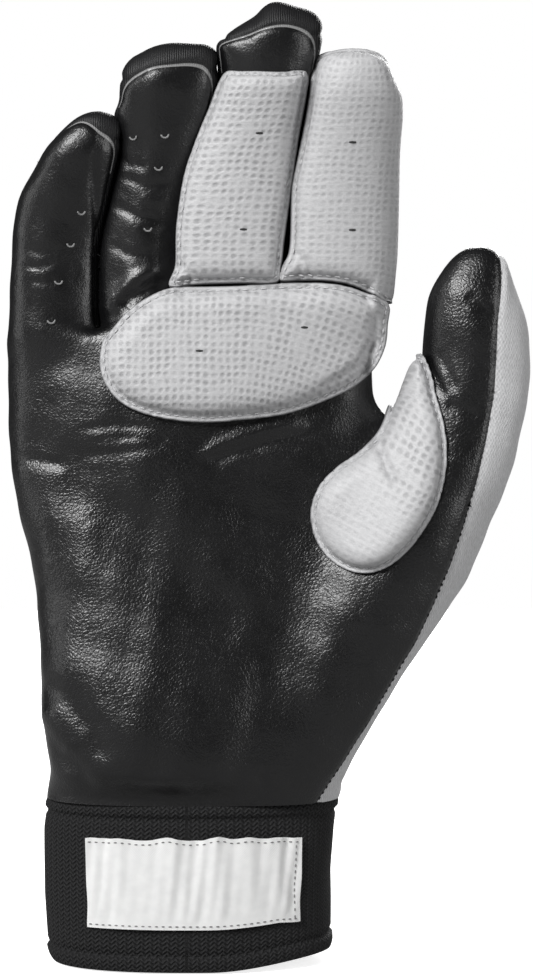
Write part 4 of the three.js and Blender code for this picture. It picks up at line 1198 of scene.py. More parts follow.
# The thumb's outer side: a row of the photograph, and how many pixels its edge moves out
THUMB_SIDE_SHIFTS = [
    (230, -3), (250, -5), (275, -7), (300, -5.5), (325, -2), (350, 2.5), (375, 5.5), (400, 7), (425, 5.8),
    (450, 6), (500, 8), (535, 9.5), (575, 8), (605, 3), (630, -4), (660, -9), (700, -11), (730, -11.5),
    (755, -9), (780, -5), (810, 0),
]


def pull(points, pixel, move, reach):
    """A shift across and up, strongest at a pixel and fading over a reach."""
    near = np.exp(-((points[:, [0, 2]] - at(pixel)) ** 2).sum(1) / reach**2)
    return near[:, None] * np.array(move) * [PIXEL, -PIXEL]


def nudged(points):
    """Points moved by the local shifts, so that the outline follows the photograph's."""
    out = points.copy()
    out[:, [0, 2]] += sum(pull(points, *nudge) for nudge in NUDGES)
    rows = np.array(THUMB_SIDE_SHIFTS)[::-1]
    table = np.column_stack([(ORIGIN_PIXEL[1] - rows[:, 0]) * PIXEL, rows[:, 1] * PIXEL])
    beyond_seam = points[:, 0] - seam_across(points[:, 2])
    knit = ramp(beyond_seam, 0, 6) * (points[:, 2] < THUMB_TOP) * ramp(points[:, 2], SKIN_FOOT, SKIN_FOOT + 4)
    out[:, 0] += knit * look_up(table, points[:, 2])
    return out


def closed_in(points):
    """How far the sides of neighbouring fingers move towards each other, so that no light falls between."""
    shift = np.zeros(len(points))
    for name in FINGERS:
        mine = np.flatnonzero(on_finger(points, name, below=10))
        share, across, forward = digit_place(LINES[name], points[mine])
        side = across / read(LINES[name], "half_breadth", np.clip(share, 0, 1))
        tip = 1 + TIP_CLOSE_IN * ramp(share, 0.78, 0.95)
        left = tip * ramp(-side, 0.45, 0.9) * (name != "little")
        right = tip * ramp(side, 0.45, 0.9) * (name != "index")
        shift[mine] = CLOSE_IN * (right - left)
        if name == "little":
            shift[mine] = CLOSE_IN_LITTLE * right
        if name == "ring":
            shift[mine] = CLOSE_IN * right - CLOSE_IN_LITTLE * left
    ceiling = knuckle_ceiling(points[:, 0])
    return shift * ramp(points[:, 2], ceiling - 0.5, ceiling + 2.5)


def broad_depth(points, facing):
    """How far back the palm's hollows and mounds lie, under the pads as well."""
    total = np.zeros(len(points))
    for depth, width, pixels in BROAD_FORMS:
        distance = line_distance(pixels, points[:, 0], points[:, 2])[0]
        total += depth * np.exp(-((distance / width) ** 2))
    return total * facing


def fold_depth(points, normals, folds, full_facing):
    """How far a surface is pressed in at each point by folds. They fade where it turns from the front."""
    facing = ramp(-normals[:, 1], 0.1, full_facing)
    total = np.zeros(len(points))
    for depth, width, pixels in folds:
        distance, share = line_distance(pixels, points[:, 0], points[:, 2])
        fade = ramp(share, 0, 0.2) * ramp(1 - share, 0, 0.2)
        total += depth * fade * facing * np.exp(-((distance / width) ** 2))
    return total


def swell(points):
    """Slow hills and hollows of leather over a filling."""
    x, y, z = points.T
    first = np.sin(x * 0.21 + 1.3 * np.sin(z * 0.07)) * np.sin(z * 0.13 + 0.9 * np.sin(x * 0.09 + y * 0.1))
    second = np.sin(x * 0.37 + z * 0.22 + 2.1) * np.sin(z * 0.31 - x * 0.18 + y * 0.2)
    return 0.28 * first + 0.16 * second


# A distance beyond every seam, and where a finger's pale tip seam starts
NO_SEAM = 9.0
TIP_SEAM_SHARE = 0.72


def shape_skin(skin):
    """Presses seams into the skin and adds its folds. Gives normals and the distance to a fingertip seam."""
    normals = normals_of(skin.points, skin.triangles)
    points = skin.points
    seams = np.full(len(points), NO_SEAM)
    tip_seam = np.full(len(points), NO_SEAM)
    for name in FINGERS:
        mine = np.flatnonzero(on_finger(points, name, below=1))
        front, back, run, side, forked = finger_values(name, points[mine])
        back = np.where(forked & (front < 0.2), np.abs(back), NO_SEAM)
        seams[mine] = np.minimum(np.abs(front), back)
        share = run / LINES[name]["length"]
        at_tip = (share > TIP_SEAM_SHARE) & (normals[mine, 1] < 0.2)
        tip_seam[mine] = np.where(at_tip, np.abs(front), NO_SEAM)
    on_hand = hand_part(points)
    seams[on_hand] = np.minimum(seams[on_hand], np.abs(hand_front(points[on_hand])))
    thumb = on_thumb(points, THUMB_START - 0.01)
    seams[thumb] = np.minimum(seams[thumb], np.abs(thumb_front(points[thumb])))
    groove = SEAM_DEPTH * np.exp(-((seams / SEAM_WIDTH) ** 2))
    foot = ramp(points[:, 2], SKIN_FOOT + 1, SKIN_FOOT + 8)
    closing = closed_in(points)
    hills = swell(points) * np.maximum(1 - np.abs(closing) / CLOSE_IN, 0)
    move = (hills - fold_depth(points, normals, FOLDS, 0.5)) * foot - groove
    skin.points = points + normals * move[:, None]
    skin.points[:, 0] += closing
    skin.points[:, 1] += broad_depth(points, ramp(-normals[:, 1], 0.05, 0.5)) * foot
    for name, *shift in TIP_SHIFTS:
        skin.points[:, [0, 2]] += pull(points, *shift) * in_column(points, name)[:, None]
    skin.points = nudged(skin.points)
    return normals_of(skin.points, skin.triangles), tip_seam


points, triangles = surface_net(FIELD, GRID_LOW, GRID_STEP)
points = settle(relax(points, triangles, 3), FIELD, GRID_LOW, GRID_STEP)
skin = Skin(points, triangles)
cut_skin(skin)
NAMES = panel_names(skin)
NORMALS, TIP_SEAM = shape_skin(skin)

PANEL_SLOTS = {"front": "black_leather", "back": "black_fabric", "side": "black_fabric"}
JOINTS = {joint["name"]: joint for joint in frame["joints"]}


def hinge(name):
    """A joint's place in millimetres, and the direction of its digit across its axis."""
    joint = JOINTS[name]
    place = np.array(joint["pos_m"]) / MM
    axis = np.array(joint["axis"], float)
    up = np.cross(axis, [0, 1, 0])
    up /= np.linalg.norm(up)
    return place, up if up[2] > 0 else -up


def blend_between(made, digit, part):
    """Bakes a piece's transform into its mesh; the hinge at its root is read but not used."""
    if part == "proximal":
        place, up = hinge(f"{digit}_mcp")
    else:
        place, up = hinge("thumb_ip" if digit == "thumb" else f"{digit}_pip")
    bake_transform(made)


def nearest_front(points, normals, places, facing):
    """The points nearest to places across and up, of those that face the front, and how near they are."""
    front = np.flatnonzero(normals[:, 1] < -facing)
    gap = np.linalg.norm(places[:, None] - points[front][None, :, [0, 2]], axis=2)
    return front[gap.argmin(1)], gap.min(1)


SEAM_STITCH = 0.9
SEAM_STITCH_STEP = 1.7
SEAM_STITCH_SIDE = 0.35
SEAM_STITCH_RADIUS = 0.17
SEAM_ROW_START = 4.0
SEAM_ROW_END = 9.0
STITCH_LIFT = 0.05


def sew_seam(made, panel):
    """Lays the stitches between palm and knit that lie beside one panel, where the front shows them."""
    run = distance_along(seam_line)
    steps = np.arange(SEAM_ROW_START, run[-1] - SEAM_ROW_END, SEAM_STITCH_STEP)
    place = places_at(steps, run, seam_line) - [SEAM_STITCH_SIDE, 0]
    flat = nudged(np.stack([place[:, 0], np.zeros(len(place)), place[:, 1]], 1))
    past = np.searchsorted([THUMB_START, THUMB_CUT], (place - THUMB_HINGE[[0, 2]]) @ THUMB_RUN[[0, 2]])
    flat = flat[past == ["back_knit", "thumb_proximal_back", "thumb_distal_back"].index(panel)]
    owner, _ = nearest_front(skin.points, NORMALS, flat[:, [0, 2]], 0.3)
    up = NORMALS[owner]
    flat[:, 1] = skin.points[owner, 1]
    way = square_to(np.gradient(flat, axis=0), up)
    beads = stitch_beads(flat + up * STITCH_LIFT, way, up, SEAM_STITCH, SEAM_STITCH_RADIUS)
    with_thread(made, *beads, BLACK_THREAD)


def make_panel(panel):
    """One panel of the skin, with its wall and its marks; a panel of the palm or the back follows the hand.
    """
    mine = skin.triangles[NAMES == panel]
    solid, faces, loop_normals, owners = walled(skin.points, NORMALS, mine, LEATHER_WALL)
    digit = panel.split("_")[0]
    slot = PANEL_SLOTS[panel.split("_")[-1]] if digit not in ("palm", "back") else "black_leather"
    if digit == "back" or (digit == "thumb" and panel.endswith("back")):
        slot = "grey_knit"
    marks = {
        "weave": flat_marks(solid[:, 0] + solid[:, 1], solid[:, 2]),
        "seam": TIP_SEAM[owners],
        "taut": ramp(solid[:, 2], 132, 178) * (1 - ramp(solid[:, 0], 40, 52)),
    }
    made = make(f"skin_{panel}", solid, faces, slot, loop_normals, **marks)
    if slot == "grey_knit":
        sew_seam(made, panel)
    if digit in ("palm", "back"):
        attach(made, "hand")
        gussets = [f"crotch_gusset_{pair}" for pair in ("little_ring", "ring_middle", "middle_index")]
        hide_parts(panel, *(gussets if digit == "palm" else []))
    else:
        blend_between(made, digit, panel.split("_")[1])
        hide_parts(panel)


for panel in sorted(set(NAMES) - {""}):
    make_panel(panel)


# Padded covers: each is raised from a field, inside an outline seen from the front. low and high are the
# corners of the space it is made in, rim and reach the width of its flat edge and of its rounding, crown and
# flange the heights of its middle and its edge, and back how far round it goes. Folds are as for the skin
PADS = {
    "palm_pad": dict(
        pixels=PALM_PAD_PIXELS, low=(-28, -30, 132), high=(62, 6, 178), digit=None, clear_of=(),
        rim=2.0, reach=5.0, crown=2.9, flange=2.1, back=2.0, full_by_thumb=True, press=1.0,
        vents=[(303, 330), (201, 354)],
        folds=[
            (0.9, 1.0, [(372, 306), (379, 322), (376, 342), (360, 364), (338, 380), (312, 393)]),
            (0.4, 0.9, [(180, 286), (184, 296), (186, 304)]),
        ],
    ),
    "thumb_pad": dict(
        pixels=THUMB_PAD_PIXELS, low=(28, -32, 98), high=(70, 2, 160), digit="thumb", clear_of=(),
        rim=1.6, reach=4.5, crown=3.6, flange=1.3, back=1.0, full_by_thumb=False, press=1.0,
        vents=[],
        folds=[(1.0, 1.1, [(372, 440), (379, 456), (384, 470), (396, 490)])],
    ),
    "middle_pad": dict(
        pixels=MIDDLE_PAD_PIXELS, low=(-8, -34, 170), high=(34, 2, 232), digit="middle",
        clear_of=("ring", "index"),
        rim=1.2, reach=4.5, crown=2.6, flange=1.9, back=2.0, full_by_thumb=False, press=1.0,
        vents=[(260, 141), (245, 234)],
        folds=[
            (0.6, 0.8, [(182, 262), (184, 276), (182, 292)]),
            (0.5, 0.7, [(190, 270), (191, 280), (189, 292)]),
        ],
    ),
    "index_pad": dict(
        pixels=INDEX_PAD_PIXELS, low=(22, -34, 170), high=(64, 6, 240), digit="index", clear_of=("middle",),
        rim=1.2, reach=4.0, crown=2.2, flange=2.0, back=3.5, full_by_thumb=True, press=0.6,
        vents=[(350, 151), (350, 235)],
        folds=[
            (0.6, 0.8, [(296, 252), (300, 268), (298, 288)]),
            (0.5, 0.8, [(304, 258), (308, 272), (308, 288)]),
        ],
    ),
}
STITCH_SET_IN = 1.3
STITCH_GROOVE = 0.4
STITCH_GROOVE_WIDTH = 0.5
NEIGHBOUR_GAP = 0.4
# The palm's pad is raised from a little under the palm, less so by the thumb
PALM_PAD_SINK = 4.0
PALM_PAD_RISE_BY_THUMB = 3.1
PAD_STITCH = 1.5
PAD_STITCH_STEP = 2.3
PAD_STITCH_RADIUS = 0.24
PAD_STITCH_AHEAD = 0.8
VENT_SLIT = (2.2, 0.42)
VENT_SINK = 0.15
# The dimples' rows on the palm's pad fan out round a point below it
FAN_PIVOT_PIXEL = (230, 620)
FAN_RADIUS = 68.0
FINGER_PAD_LIFT = 3.0
THUMB_WEAVE_TURN = math.radians(28)
THUMB_WEAVE_SCALE = 0.93
THUMB_CREASE = [(366, 432), (410, 530)]


def base_shape(digit):
    """The field that a pad is raised from."""
    if digit is None:
        by_thumb = ramp(AXES[0][:, None, None], 44, 50)
        under = LONG_PALM - PALM_PAD_SINK + PALM_PAD_RISE_BY_THUMB * by_thumb
        return np.maximum(np.minimum(LONG_PALM, FIELD), under)
    return smooth_min(LONG_PALM, DIGITS[digit], HEEL_BLEND if digit == "thumb" else KNUCKLE_BLEND)


def pad_limit(pad, points):
    """How far points lie in front of where a pad ends at the side."""
    if pad["digit"] in FINGERS:
        return digit_place(LINES[pad["digit"]], points)[2] + pad["back"]
    return pad["back"] - points[:, 1]


def pad_skin(pad, outline):
    """A padded cover as a Skin."""
    low = np.array(pad["low"], float)
    axes = axes_of(low, pad["high"], PAD_STEP)
    points, size = grid_points(axes)
    flat_x, flat_z = np.meshgrid(axes[0], axes[2], indexing="ij")
    inside = np.repeat(inside_distance(outline, flat_x, flat_z)[:, None, :], len(axes[1]), axis=1).ravel()
    inside = np.minimum(inside, pad_limit(pad, points))
    over = sample(base_shape(pad["digit"]), points, GRID_LOW, GRID_STEP)
    under = sample(FIELD, points, GRID_LOW, GRID_STEP)
    rise = np.clip((inside - pad["rim"]) / pad["reach"], 0, 1)
    groove = STITCH_GROOVE * np.exp(-(((inside - STITCH_SET_IN) / STITCH_GROOVE_WIDTH) ** 2))
    if pad["full_by_thumb"]:
        rise = np.maximum(rise, ramp(points[:, 0], 46, 49) * (1 - ramp(points[:, 2], 174, 182)))
    height = pad["flange"] - groove + pad["crown"] * np.sqrt(1 - (1 - rise) ** 2)
    level = np.maximum(np.maximum(over - height, -inside), -under)
    for digit in pad["clear_of"]:
        level = np.maximum(level, NEIGHBOUR_GAP - sample(DIGITS[digit], points, GRID_LOW, GRID_STEP))
    made, triangles = surface_net(level.reshape(size), low, PAD_STEP)
    return Skin(relax(made, triangles, 2), triangles)


def fan_closed(points, normals, triangles):
    """Closes the open end of a cut pad with a fan. Gives points, triangles, normals and owners."""
    used, local = np.unique(triangles, return_inverse=True)
    local = local.reshape(-1, 3)
    size = len(used)
    border = border_of(local, size)
    if not len(border):
        return points[used], local, normals[used][local], used
    middle = points[used][border.ravel()].mean(0)
    fan = np.stack([border[:, 1], border[:, 0], np.full(len(border), size)], 1)
    solid = np.concatenate([points[used], middle[None]])
    loop_normals = np.concatenate([normals[used][local], flat_normals(solid, fan)])
    return solid, np.concatenate([local, fan]), loop_normals, np.append(used, used[0])


def above_crease(points):
    """How far places on the thumb's pad lie towards the thumb from the crease across it."""
    start, end = (at(pixel) for pixel in THUMB_CREASE)
    run = (end - start) / np.linalg.norm(end - start)
    offset = points[:, [0, 2]] - start
    return run[0] * offset[:, 1] - run[1] * offset[:, 0]


def pad_weave(digit, points):
    """Flat coordinates for the dimples of a pad."""
    if digit == "thumb":
        cos, sin = math.cos(THUMB_WEAVE_TURN), math.sin(THUMB_WEAVE_TURN)
        across = points[:, 0] * cos - points[:, 2] * sin
        return flat_marks(across, points[:, 0] * sin + points[:, 2] * cos) * THUMB_WEAVE_SCALE
    if digit is None:
        pivot = at(FAN_PIVOT_PIXEL)
        across = points[:, 0] - pivot[0]
        up = points[:, 2] - pivot[1]
        turned = FAN_RADIUS * np.arctan2(np.maximum(across, 0), up)
        fanned = across > 0
        return flat_marks(np.where(fanned, turned, across), np.where(fanned, np.hypot(across, up), up))
    share, across, forward = digit_place(LINES[digit], points)
    around = np.arctan2(across, np.maximum(forward, 0.5)) * (FINGERS[digit]["depth"] / 2 + FINGER_PAD_LIFT)
    return flat_marks(around, share * LINES[digit]["length"])


def at_end(digit, end, points):
    """True where points lie on one side of a finger's middle hinge."""
    return (run_of(digit, points) > PHALANX_CUTS[digit]) == (end == "distal")


def sew_rim(made, digit, end, outline, flat, points, normals):
    """Lays a row of stitches in the groove along the edge of a pad, where its front shows."""
    closed = np.concatenate([outline, outline[:1]])
    run = distance_along(closed)
    steps = np.arange(0, run[-1] - PAD_STITCH_STEP / 2, PAD_STITCH_STEP)
    place = places_at(steps, run, closed)
    way = unit(places_at(steps + PAD_STITCH_AHEAD, run, closed) - place)
    side = np.stack([-way[:, 1], way[:, 0]], 1)
    probe = place + side * STITCH_SET_IN
    side[inside_distance(outline, probe[:, 0], probe[:, 1]) < 0] *= -1
    place = place + side * STITCH_SET_IN
    owner, gap = nearest_front(flat, normals, place, 0.55)
    good = gap < 0.7
    if end:
        good &= at_end(digit, end, flat[owner])
    if not good.any():
        return
    owner, place, way = owner[good], place[good], way[good]
    up = normals[owner]
    moved = nudged(np.stack([place[:, 0], flat[owner, 1], place[:, 1]], 1))
    moved[:, 1] = points[owner, 1]
    forward = square_to(np.stack([way[:, 0], np.zeros(len(way)), way[:, 1]], 1), up)
    beads = stitch_beads(moved + up * STITCH_LIFT, forward, up, PAD_STITCH, PAD_STITCH_RADIUS)
    with_thread(made, *beads, PALE_THREAD)


def pad_vent(made, point, up):
    """A dark slit in a pad."""
    way = unit(np.cross(up, [0, 0, 1.0])[None])
    with_thread(made, *stitch_beads(point[None] - up * VENT_SINK, way, up[None], *VENT_SLIT), HOLE)


def make_pad(name, pad):
    """A padded cover with its dimples, folds, stitches and vents. A finger's is cut at its middle hinge."""
    outline = polygon_line(pad["pixels"])
    digit = pad["digit"]
    cover = pad_skin(pad, outline)
    pieces = {name: (None, np.ones(len(cover.triangles), bool))}
    if digit in FINGERS:
        cover.cut(run_of(digit, cover.points) - PHALANX_CUTS[digit])
        middle = cover.middles()
        pieces = {f"{digit}_{end}_pad": (end, at_end(digit, end, middle)) for end in ("proximal", "distal")}
    place = cover.points
    rim = np.minimum(inside_distance(outline, place[:, 0], place[:, 2]), pad_limit(pad, place))
    weave = pad_weave(digit, place)
    press = np.full(len(place), pad["press"])
    if digit == "thumb":
        press = 0.3 + 0.7 * ramp(above_crease(place), -5, 5)
    normals = normals_of(place, cover.triangles)
    depth = fold_depth(place, normals, pad["folds"], 0.4)
    cover.points = place - normals * depth[:, None]
    cover.points[:, 1] += broad_depth(place, ramp(-place[:, 1], -2, 6))
    cover.points = nudged(cover.points)
    normals = normals_of(cover.points, cover.triangles)
    for piece, (end, mine) in pieces.items():
        solid, faces, loop_normals, owners = fan_closed(cover.points, normals, cover.triangles[mine])
        marks = {"weave": weave[owners], "rim": rim[owners], "press": press[owners]}
        made = make(f"{piece}_padded", solid, faces, "pale_leather", loop_normals, **marks)
        for pixel in pad["vents"]:
            owner = nearest_front(cover.points, normals, at(pixel)[None], 0.5)[0]
            if end is None or at_end(digit, end, place[owner])[0]:
                pad_vent(made, cover.points[owner[0]], normals[owner[0]])
        sew_rim(made, digit, end, outline, place, cover.points, normals)
        if digit is None:
            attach(made, "hand")
            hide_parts("palm_pad_cover", "palm_pad_foam")
        elif digit == "thumb":
            blend_between(made, "thumb", "proximal")
            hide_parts("thenar_pad_cover", "thenar_pad_foam", "thumb_pad_cover", "thumb_pad_foam")
        else:
            blend_between(made, digit, end)
            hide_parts(f"{piece}_cover", f"{piece}_foam")


for pad_name, pad in PADS.items():
    make_pad(pad_name, pad)

# Vents in the leather: a crescent of raised leather beside a small hole. The crescent is painted pale grey: a
# painted highlight on the black leather of its lip
LEATHER_VENTS = {
    "ring": [(168, 142), (134, 141), (159, 172), (149, 230)],
    "little": [(85, 216), (72, 248), (60, 283), (52, 323)],
}
VENT_REACH = 0.85
VENT_TURN = np.linspace(math.radians(200), math.radians(350), 9)[:, None]
VENT_FLATNESS = 0.8
VENT_LIFT = 0.12
VENT_BEAD = (0.9, 0.26)


def leather_vent(name, digit, pixel):
    """One vent's lip, as a row of beads, painted pale grey as a painted highlight."""
    owner = nearest_front(skin.points, NORMALS, at(pixel)[None], 0.5)[0]
    centre = skin.points[owner]
    up = NORMALS[owner]
    right = -unit(np.cross(up, [0, 0, 1]))
    arc = np.cos(VENT_TURN) * right + np.sin(VENT_TURN) * np.cross(up, right) * VENT_FLATNESS
    places = centre + VENT_REACH * arc + up * VENT_LIFT
    runs = unit(np.gradient(places, axis=0))
    points, triangles = stitch_beads(places, runs, np.repeat(up, len(places), 0), *VENT_BEAD)
    made = make(name, points, triangles, "black_leather")
    # The lip takes the pale grey of a painted highlight in place of the black leather
    made.data.materials[0] = LIP_HIGHLIGHT
    blend_between(made, digit, "distal" if at_end(digit, "distal", centre)[0] else "proximal")


for digit, pixels in LEATHER_VENTS.items():
    for number, pixel in enumerate(pixels):
        leather_vent(f"vent_{digit}_{number + 1}", digit, pixel)


# Cuff: places on it are the distance round from the middle of the front, towards the thumb, and the height
HEM_HEIGHT = 4.0
WELT_HEIGHT = 3.4
CUFF_HEIGHT = 42.2
CUFF_WALL = 2.2
CUFF_STEP = 0.8
FOLD_LIFT = 0.45
SLIT_SET_OVER = 11.0
SLIT_WIDTH = 3.0
SLIT_RISE = 16.0
HEM_LIFT_BY_THUMB = 3.0
CUFF_SAMPLES = 4000
# How far the cuff's right and left sides lean out, at shares of its height
RIGHT_LEAN = ([0, 0.15, 0.5, 0.8, 1], [-1.2, -1.3, -1.3, -0.5, 0.5])
LEFT_LEAN = ([0, 0.08, 0.4, 0.8, 1], [-1.6, -0.6, 0.1, 0.4, -0.5])
# The stitched grooves beside the hem and the welt, and the rounding of the cuff's two edges
GROOVE_GAP = 0.3
GROOVE_DEPTH = 0.5
GROOVE_WIDTH = 0.7
EDGE_ROUNDING = 0.5
EDGE_WIDTH = 0.8


def cuff_line():
    """Distance round, across and forward of places on the cuff's outline, from the middle of its front."""
    angle = np.linspace(0, 2 * np.pi, CUFF_SAMPLES + 1) - np.pi / 2
    power = 2 / CUFF_POWER
    x = CUFF_BREADTH / 2 * np.sign(np.cos(angle)) * np.abs(np.cos(angle)) ** power
    y = CUFF_DEPTH / 2 * np.sign(np.sin(angle)) * np.abs(np.sin(angle)) ** power
    arc = np.concatenate([[0], np.cumsum(np.hypot(np.diff(x), np.diff(y)))])
    return arc, x, y


CUFF_ARC, CUFF_X, CUFF_Y = cuff_line()
CUFF_ROUND = CUFF_ARC[-1]


def arc_at(x, back=False):
    """Distance round to a place across, on the front or on the back."""
    rows = (CUFF_Y > 0) if back else (CUFF_Y <= 0)
    arcs = np.where(CUFF_ARC > 0.75 * CUFF_ROUND, CUFF_ARC - CUFF_ROUND, CUFF_ARC) if not back else CUFF_ARC
    order = np.argsort(CUFF_X[rows])
    return float(np.interp(x, CUFF_X[rows][order], arcs[rows][order]))


def on_cuff(arc, z, lift):
    """Points on the cuff, lifted off it, with the photograph's lean of its sides."""
    held = np.mod(arc, CUFF_ROUND)
    x = np.interp(held, CUFF_ARC, CUFF_X)
    y = np.interp(held, CUFF_ARC, CUFF_Y)
    out_x = np.sign(x) * np.abs(x / (CUFF_BREADTH / 2)) ** (CUFF_POWER - 1) / (CUFF_BREADTH / 2)
    out_y = np.sign(y) * np.abs(y / (CUFF_DEPTH / 2)) ** (CUFF_POWER - 1) / (CUFF_DEPTH / 2)
    size = np.hypot(out_x, out_y)
    share = z / CUFF_HEIGHT
    side_lean = np.where(x > 0, np.interp(share, *RIGHT_LEAN), -np.interp(share, *LEFT_LEAN))
    lean = side_lean * np.abs(x / (CUFF_BREADTH / 2)) ** 3
    rise = HEM_LIFT_BY_THUMB * ramp(x, 5, 38) * (1 - ramp(z, 0, 36))
    return np.stack([x + lean + out_x / size * lift, y + out_y / size * lift, z + rise], -1)


def grid_triangles(rows, columns, closed=False):
    """Triangles of a grid of points, numbered along its rows."""
    a = np.arange(rows * columns).reshape(rows, columns)
    if closed:
        a = np.concatenate([a, a[:1]])
    p, q, r, s = a[:-1, :-1].ravel(), a[1:, :-1].ravel(), a[1:, 1:].ravel(), a[:-1, 1:].ravel()
    return np.concatenate([np.stack([p, q, r], 1), np.stack([p, r, s], 1)])


def cuff_lift(arc, z):
    """The folded hem and welt stand out, with a stitched groove beside each."""
    top = CUFF_HEIGHT - WELT_HEIGHT
    hem = 1 - ramp(z, HEM_HEIGHT - 0.7, HEM_HEIGHT + 0.1)
    welt = ramp(z, top - 0.1, top + 0.7)
    lines = (HEM_HEIGHT + GROOVE_GAP, top - GROOVE_GAP)
    groove = GROOVE_DEPTH * sum(np.exp(-(((z - line) / GROOVE_WIDTH) ** 2)) for line in lines)
    slack = 0.3 * np.sin(arc * 0.27 + 0.4 * np.sin(z * 0.2)) * np.sin(z * np.pi / CUFF_HEIGHT)
    rounded = EDGE_ROUNDING * sum(np.exp(-(((z - edge) / EDGE_WIDTH) ** 2)) for edge in (0, CUFF_HEIGHT))
    return FOLD_LIFT * (hem + welt) - groove + slack - rounded


def in_slit(points, slit):
    """Less than 0 inside the slit at the back of the cuff."""
    return np.maximum(np.abs(points[:, 0] - slit) - SLIT_WIDTH / 2, points[:, 2] - SLIT_RISE)


def make_cuff():
    """The cuff as one knitted band, cut into hem, band and welt, with a slit under the tab."""
    arcs = np.linspace(0, CUFF_ROUND, int(CUFF_ROUND / CUFF_STEP), endpoint=False)
    heights = np.linspace(0, CUFF_HEIGHT, int(CUFF_HEIGHT / CUFF_STEP) + 1)
    arc, z = (part.ravel() for part in np.meshgrid(arcs, heights, indexing="ij"))
    flat = Skin(np.stack([arc, np.zeros(len(arc)), z], 1), grid_triangles(len(arcs), len(heights)))
    closing = grid_triangles(2, len(heights))
    last = (len(arcs) - 1) * len(heights)
    seam = np.where(closing < len(heights), closing + last, closing - len(heights))
    slit = arc_at(SLIT_SET_OVER, back=True)
    top = CUFF_HEIGHT - WELT_HEIGHT
    flat.cut(flat.points[:, 2] - HEM_HEIGHT)
    flat.cut(flat.points[:, 2] - top)
    flat.cut(in_slit(flat.points, slit))
    middle = flat.middles()
    height = np.where(in_slit(middle, slit) < 0, -1, middle[:, 2])
    flat.triangles = np.concatenate([flat.triangles, seam])
    height = np.concatenate([height, flat.points[seam].mean(1)[:, 2]])
    arc, _, z = flat.points.T
    points = on_cuff(arc, z, cuff_lift(arc, z))
    normals = normals_of(points, flat.triangles)
    bands = [("cuff_hem", 0, HEM_HEIGHT), ("cuff_band", HEM_HEIGHT, top), ("cuff_welt", top, CUFF_HEIGHT)]
    for name, low, high in bands:
        mine = (height > low) & (height < high)
        solid, faces, loop_normals, owners = walled(points, normals, flat.triangles[mine], CUFF_WALL)
        weave = flat_marks(arc[owners], z[owners])
        made = make(f"{name}_knit", solid, faces, "black_knit", loop_normals, weave=weave)
        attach(made, "hand")
        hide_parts(name)


make_cuff()


def beyond_corners(points, arcs, heights, corners):
    """More than 0 beyond the rounded corners of a patch."""
    away = np.full(len(points), -9.0)
    for end, radius in zip(arcs, corners):
        if not radius:
            continue
        along = radius - np.abs(points[:, 0] - end)
        up = np.maximum(heights[0] + radius - points[:, 2], points[:, 2] - heights[1] + radius)
        away = np.maximum(away, np.where((along > 0) & (up > 0), np.hypot(along, up) - radius, -9.0))
    return away


def patch(name, node, slot, body, arcs, heights, lift, wall, corners=(0, 0), shape=None, step=0.7):
    """A flat piece on the cuff. corners are the roundings of its two ends; shape moves its points."""
    columns = np.linspace(arcs[0], arcs[1], int((arcs[1] - arcs[0]) / step) + 2)
    rows = np.linspace(heights[0], heights[1], int((heights[1] - heights[0]) / step) + 2)
    arc, z = (part.ravel() for part in np.meshgrid(columns, rows, indexing="ij"))
    flat = Skin(np.stack([arc, np.zeros(len(arc)), z], 1), grid_triangles(len(columns), len(rows)))
    if any(corners):
        flat.cut(beyond_corners(flat.points, arcs, heights, corners))
        flat.triangles = flat.triangles[beyond_corners(flat.middles(), arcs, heights, corners) <= 0]
    arc, _, z = flat.points.T
    place, height = (lift, z) if shape is None else shape(arc, z)
    points = on_cuff(arc, height, place)
    normals = normals_of(points, flat.triangles)
    solid, faces, loop_normals, owners = walled(points, normals, flat.triangles, wall)
    made = make(name, solid, faces, slot, loop_normals, weave=flat_marks(arc[owners], z[owners]))
    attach(made, body)
    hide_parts(node)
    return made


LABEL_LOW = 11.0
LABEL_HIGH = 33.4
LABEL_LEFT = -25.4
LABEL_RIGHT = 28.4
LABEL_WALL = 0.5
LABEL_LIFT = 1.05
LABEL_STITCH = 0.9
LABEL_STITCH_STEP = 1.7
# Puckers of the label's top edge: the pixel column and the size of each
LABEL_PEAKS = [(170, 1.0), (219, 1.2), (248, 0.9), (122, 0.5), (276, 0.5), (98, 0.3)]
label_arcs = (arc_at(LABEL_LEFT), arc_at(LABEL_RIGHT))


def label_shape(arc, z):
    """The label's puckers: its top edge rises and stands off in folds, and its lower corner sags."""
    share = (z - LABEL_LOW) / (LABEL_HIGH - LABEL_LOW)
    lift = np.full(len(arc), LABEL_LIFT)
    height = z.copy()
    for pixel, size in LABEL_PEAKS:
        place = arc_at(at((pixel, 0))[0])
        lean = arc - place - 1.5 * (1 - share)
        height = height + size * np.exp(-((lean / 3.0) ** 2)) * ramp(share, 0.4, 1.0)
        lift = lift + size * np.exp(-((lean / 2.2) ** 2)) * ramp(share, 0.0, 0.9)
    ripple = np.sin(arc * 0.8 + 0.12 * z + 0.8 * np.sin(z * 0.3)) + 0.6 * np.sin(arc * 1.9 - 0.2 * z + 1.0)
    lift = lift + 0.36 * ripple * (0.6 + 0.4 * np.sin(arc * 0.23 + 1.1)) * ramp(share, 0.02, 0.25)
    corner = ramp(arc, label_arcs[1] - 7, label_arcs[1]) * (1 - ramp(share, 0, 0.25))
    return lift, height - 0.8 * corner


label = patch(
    "label_bare", "cuff_label", "label", "hand", label_arcs, (LABEL_LOW, LABEL_HIGH), LABEL_LIFT, LABEL_WALL,
    shape=label_shape, step=0.6,
)


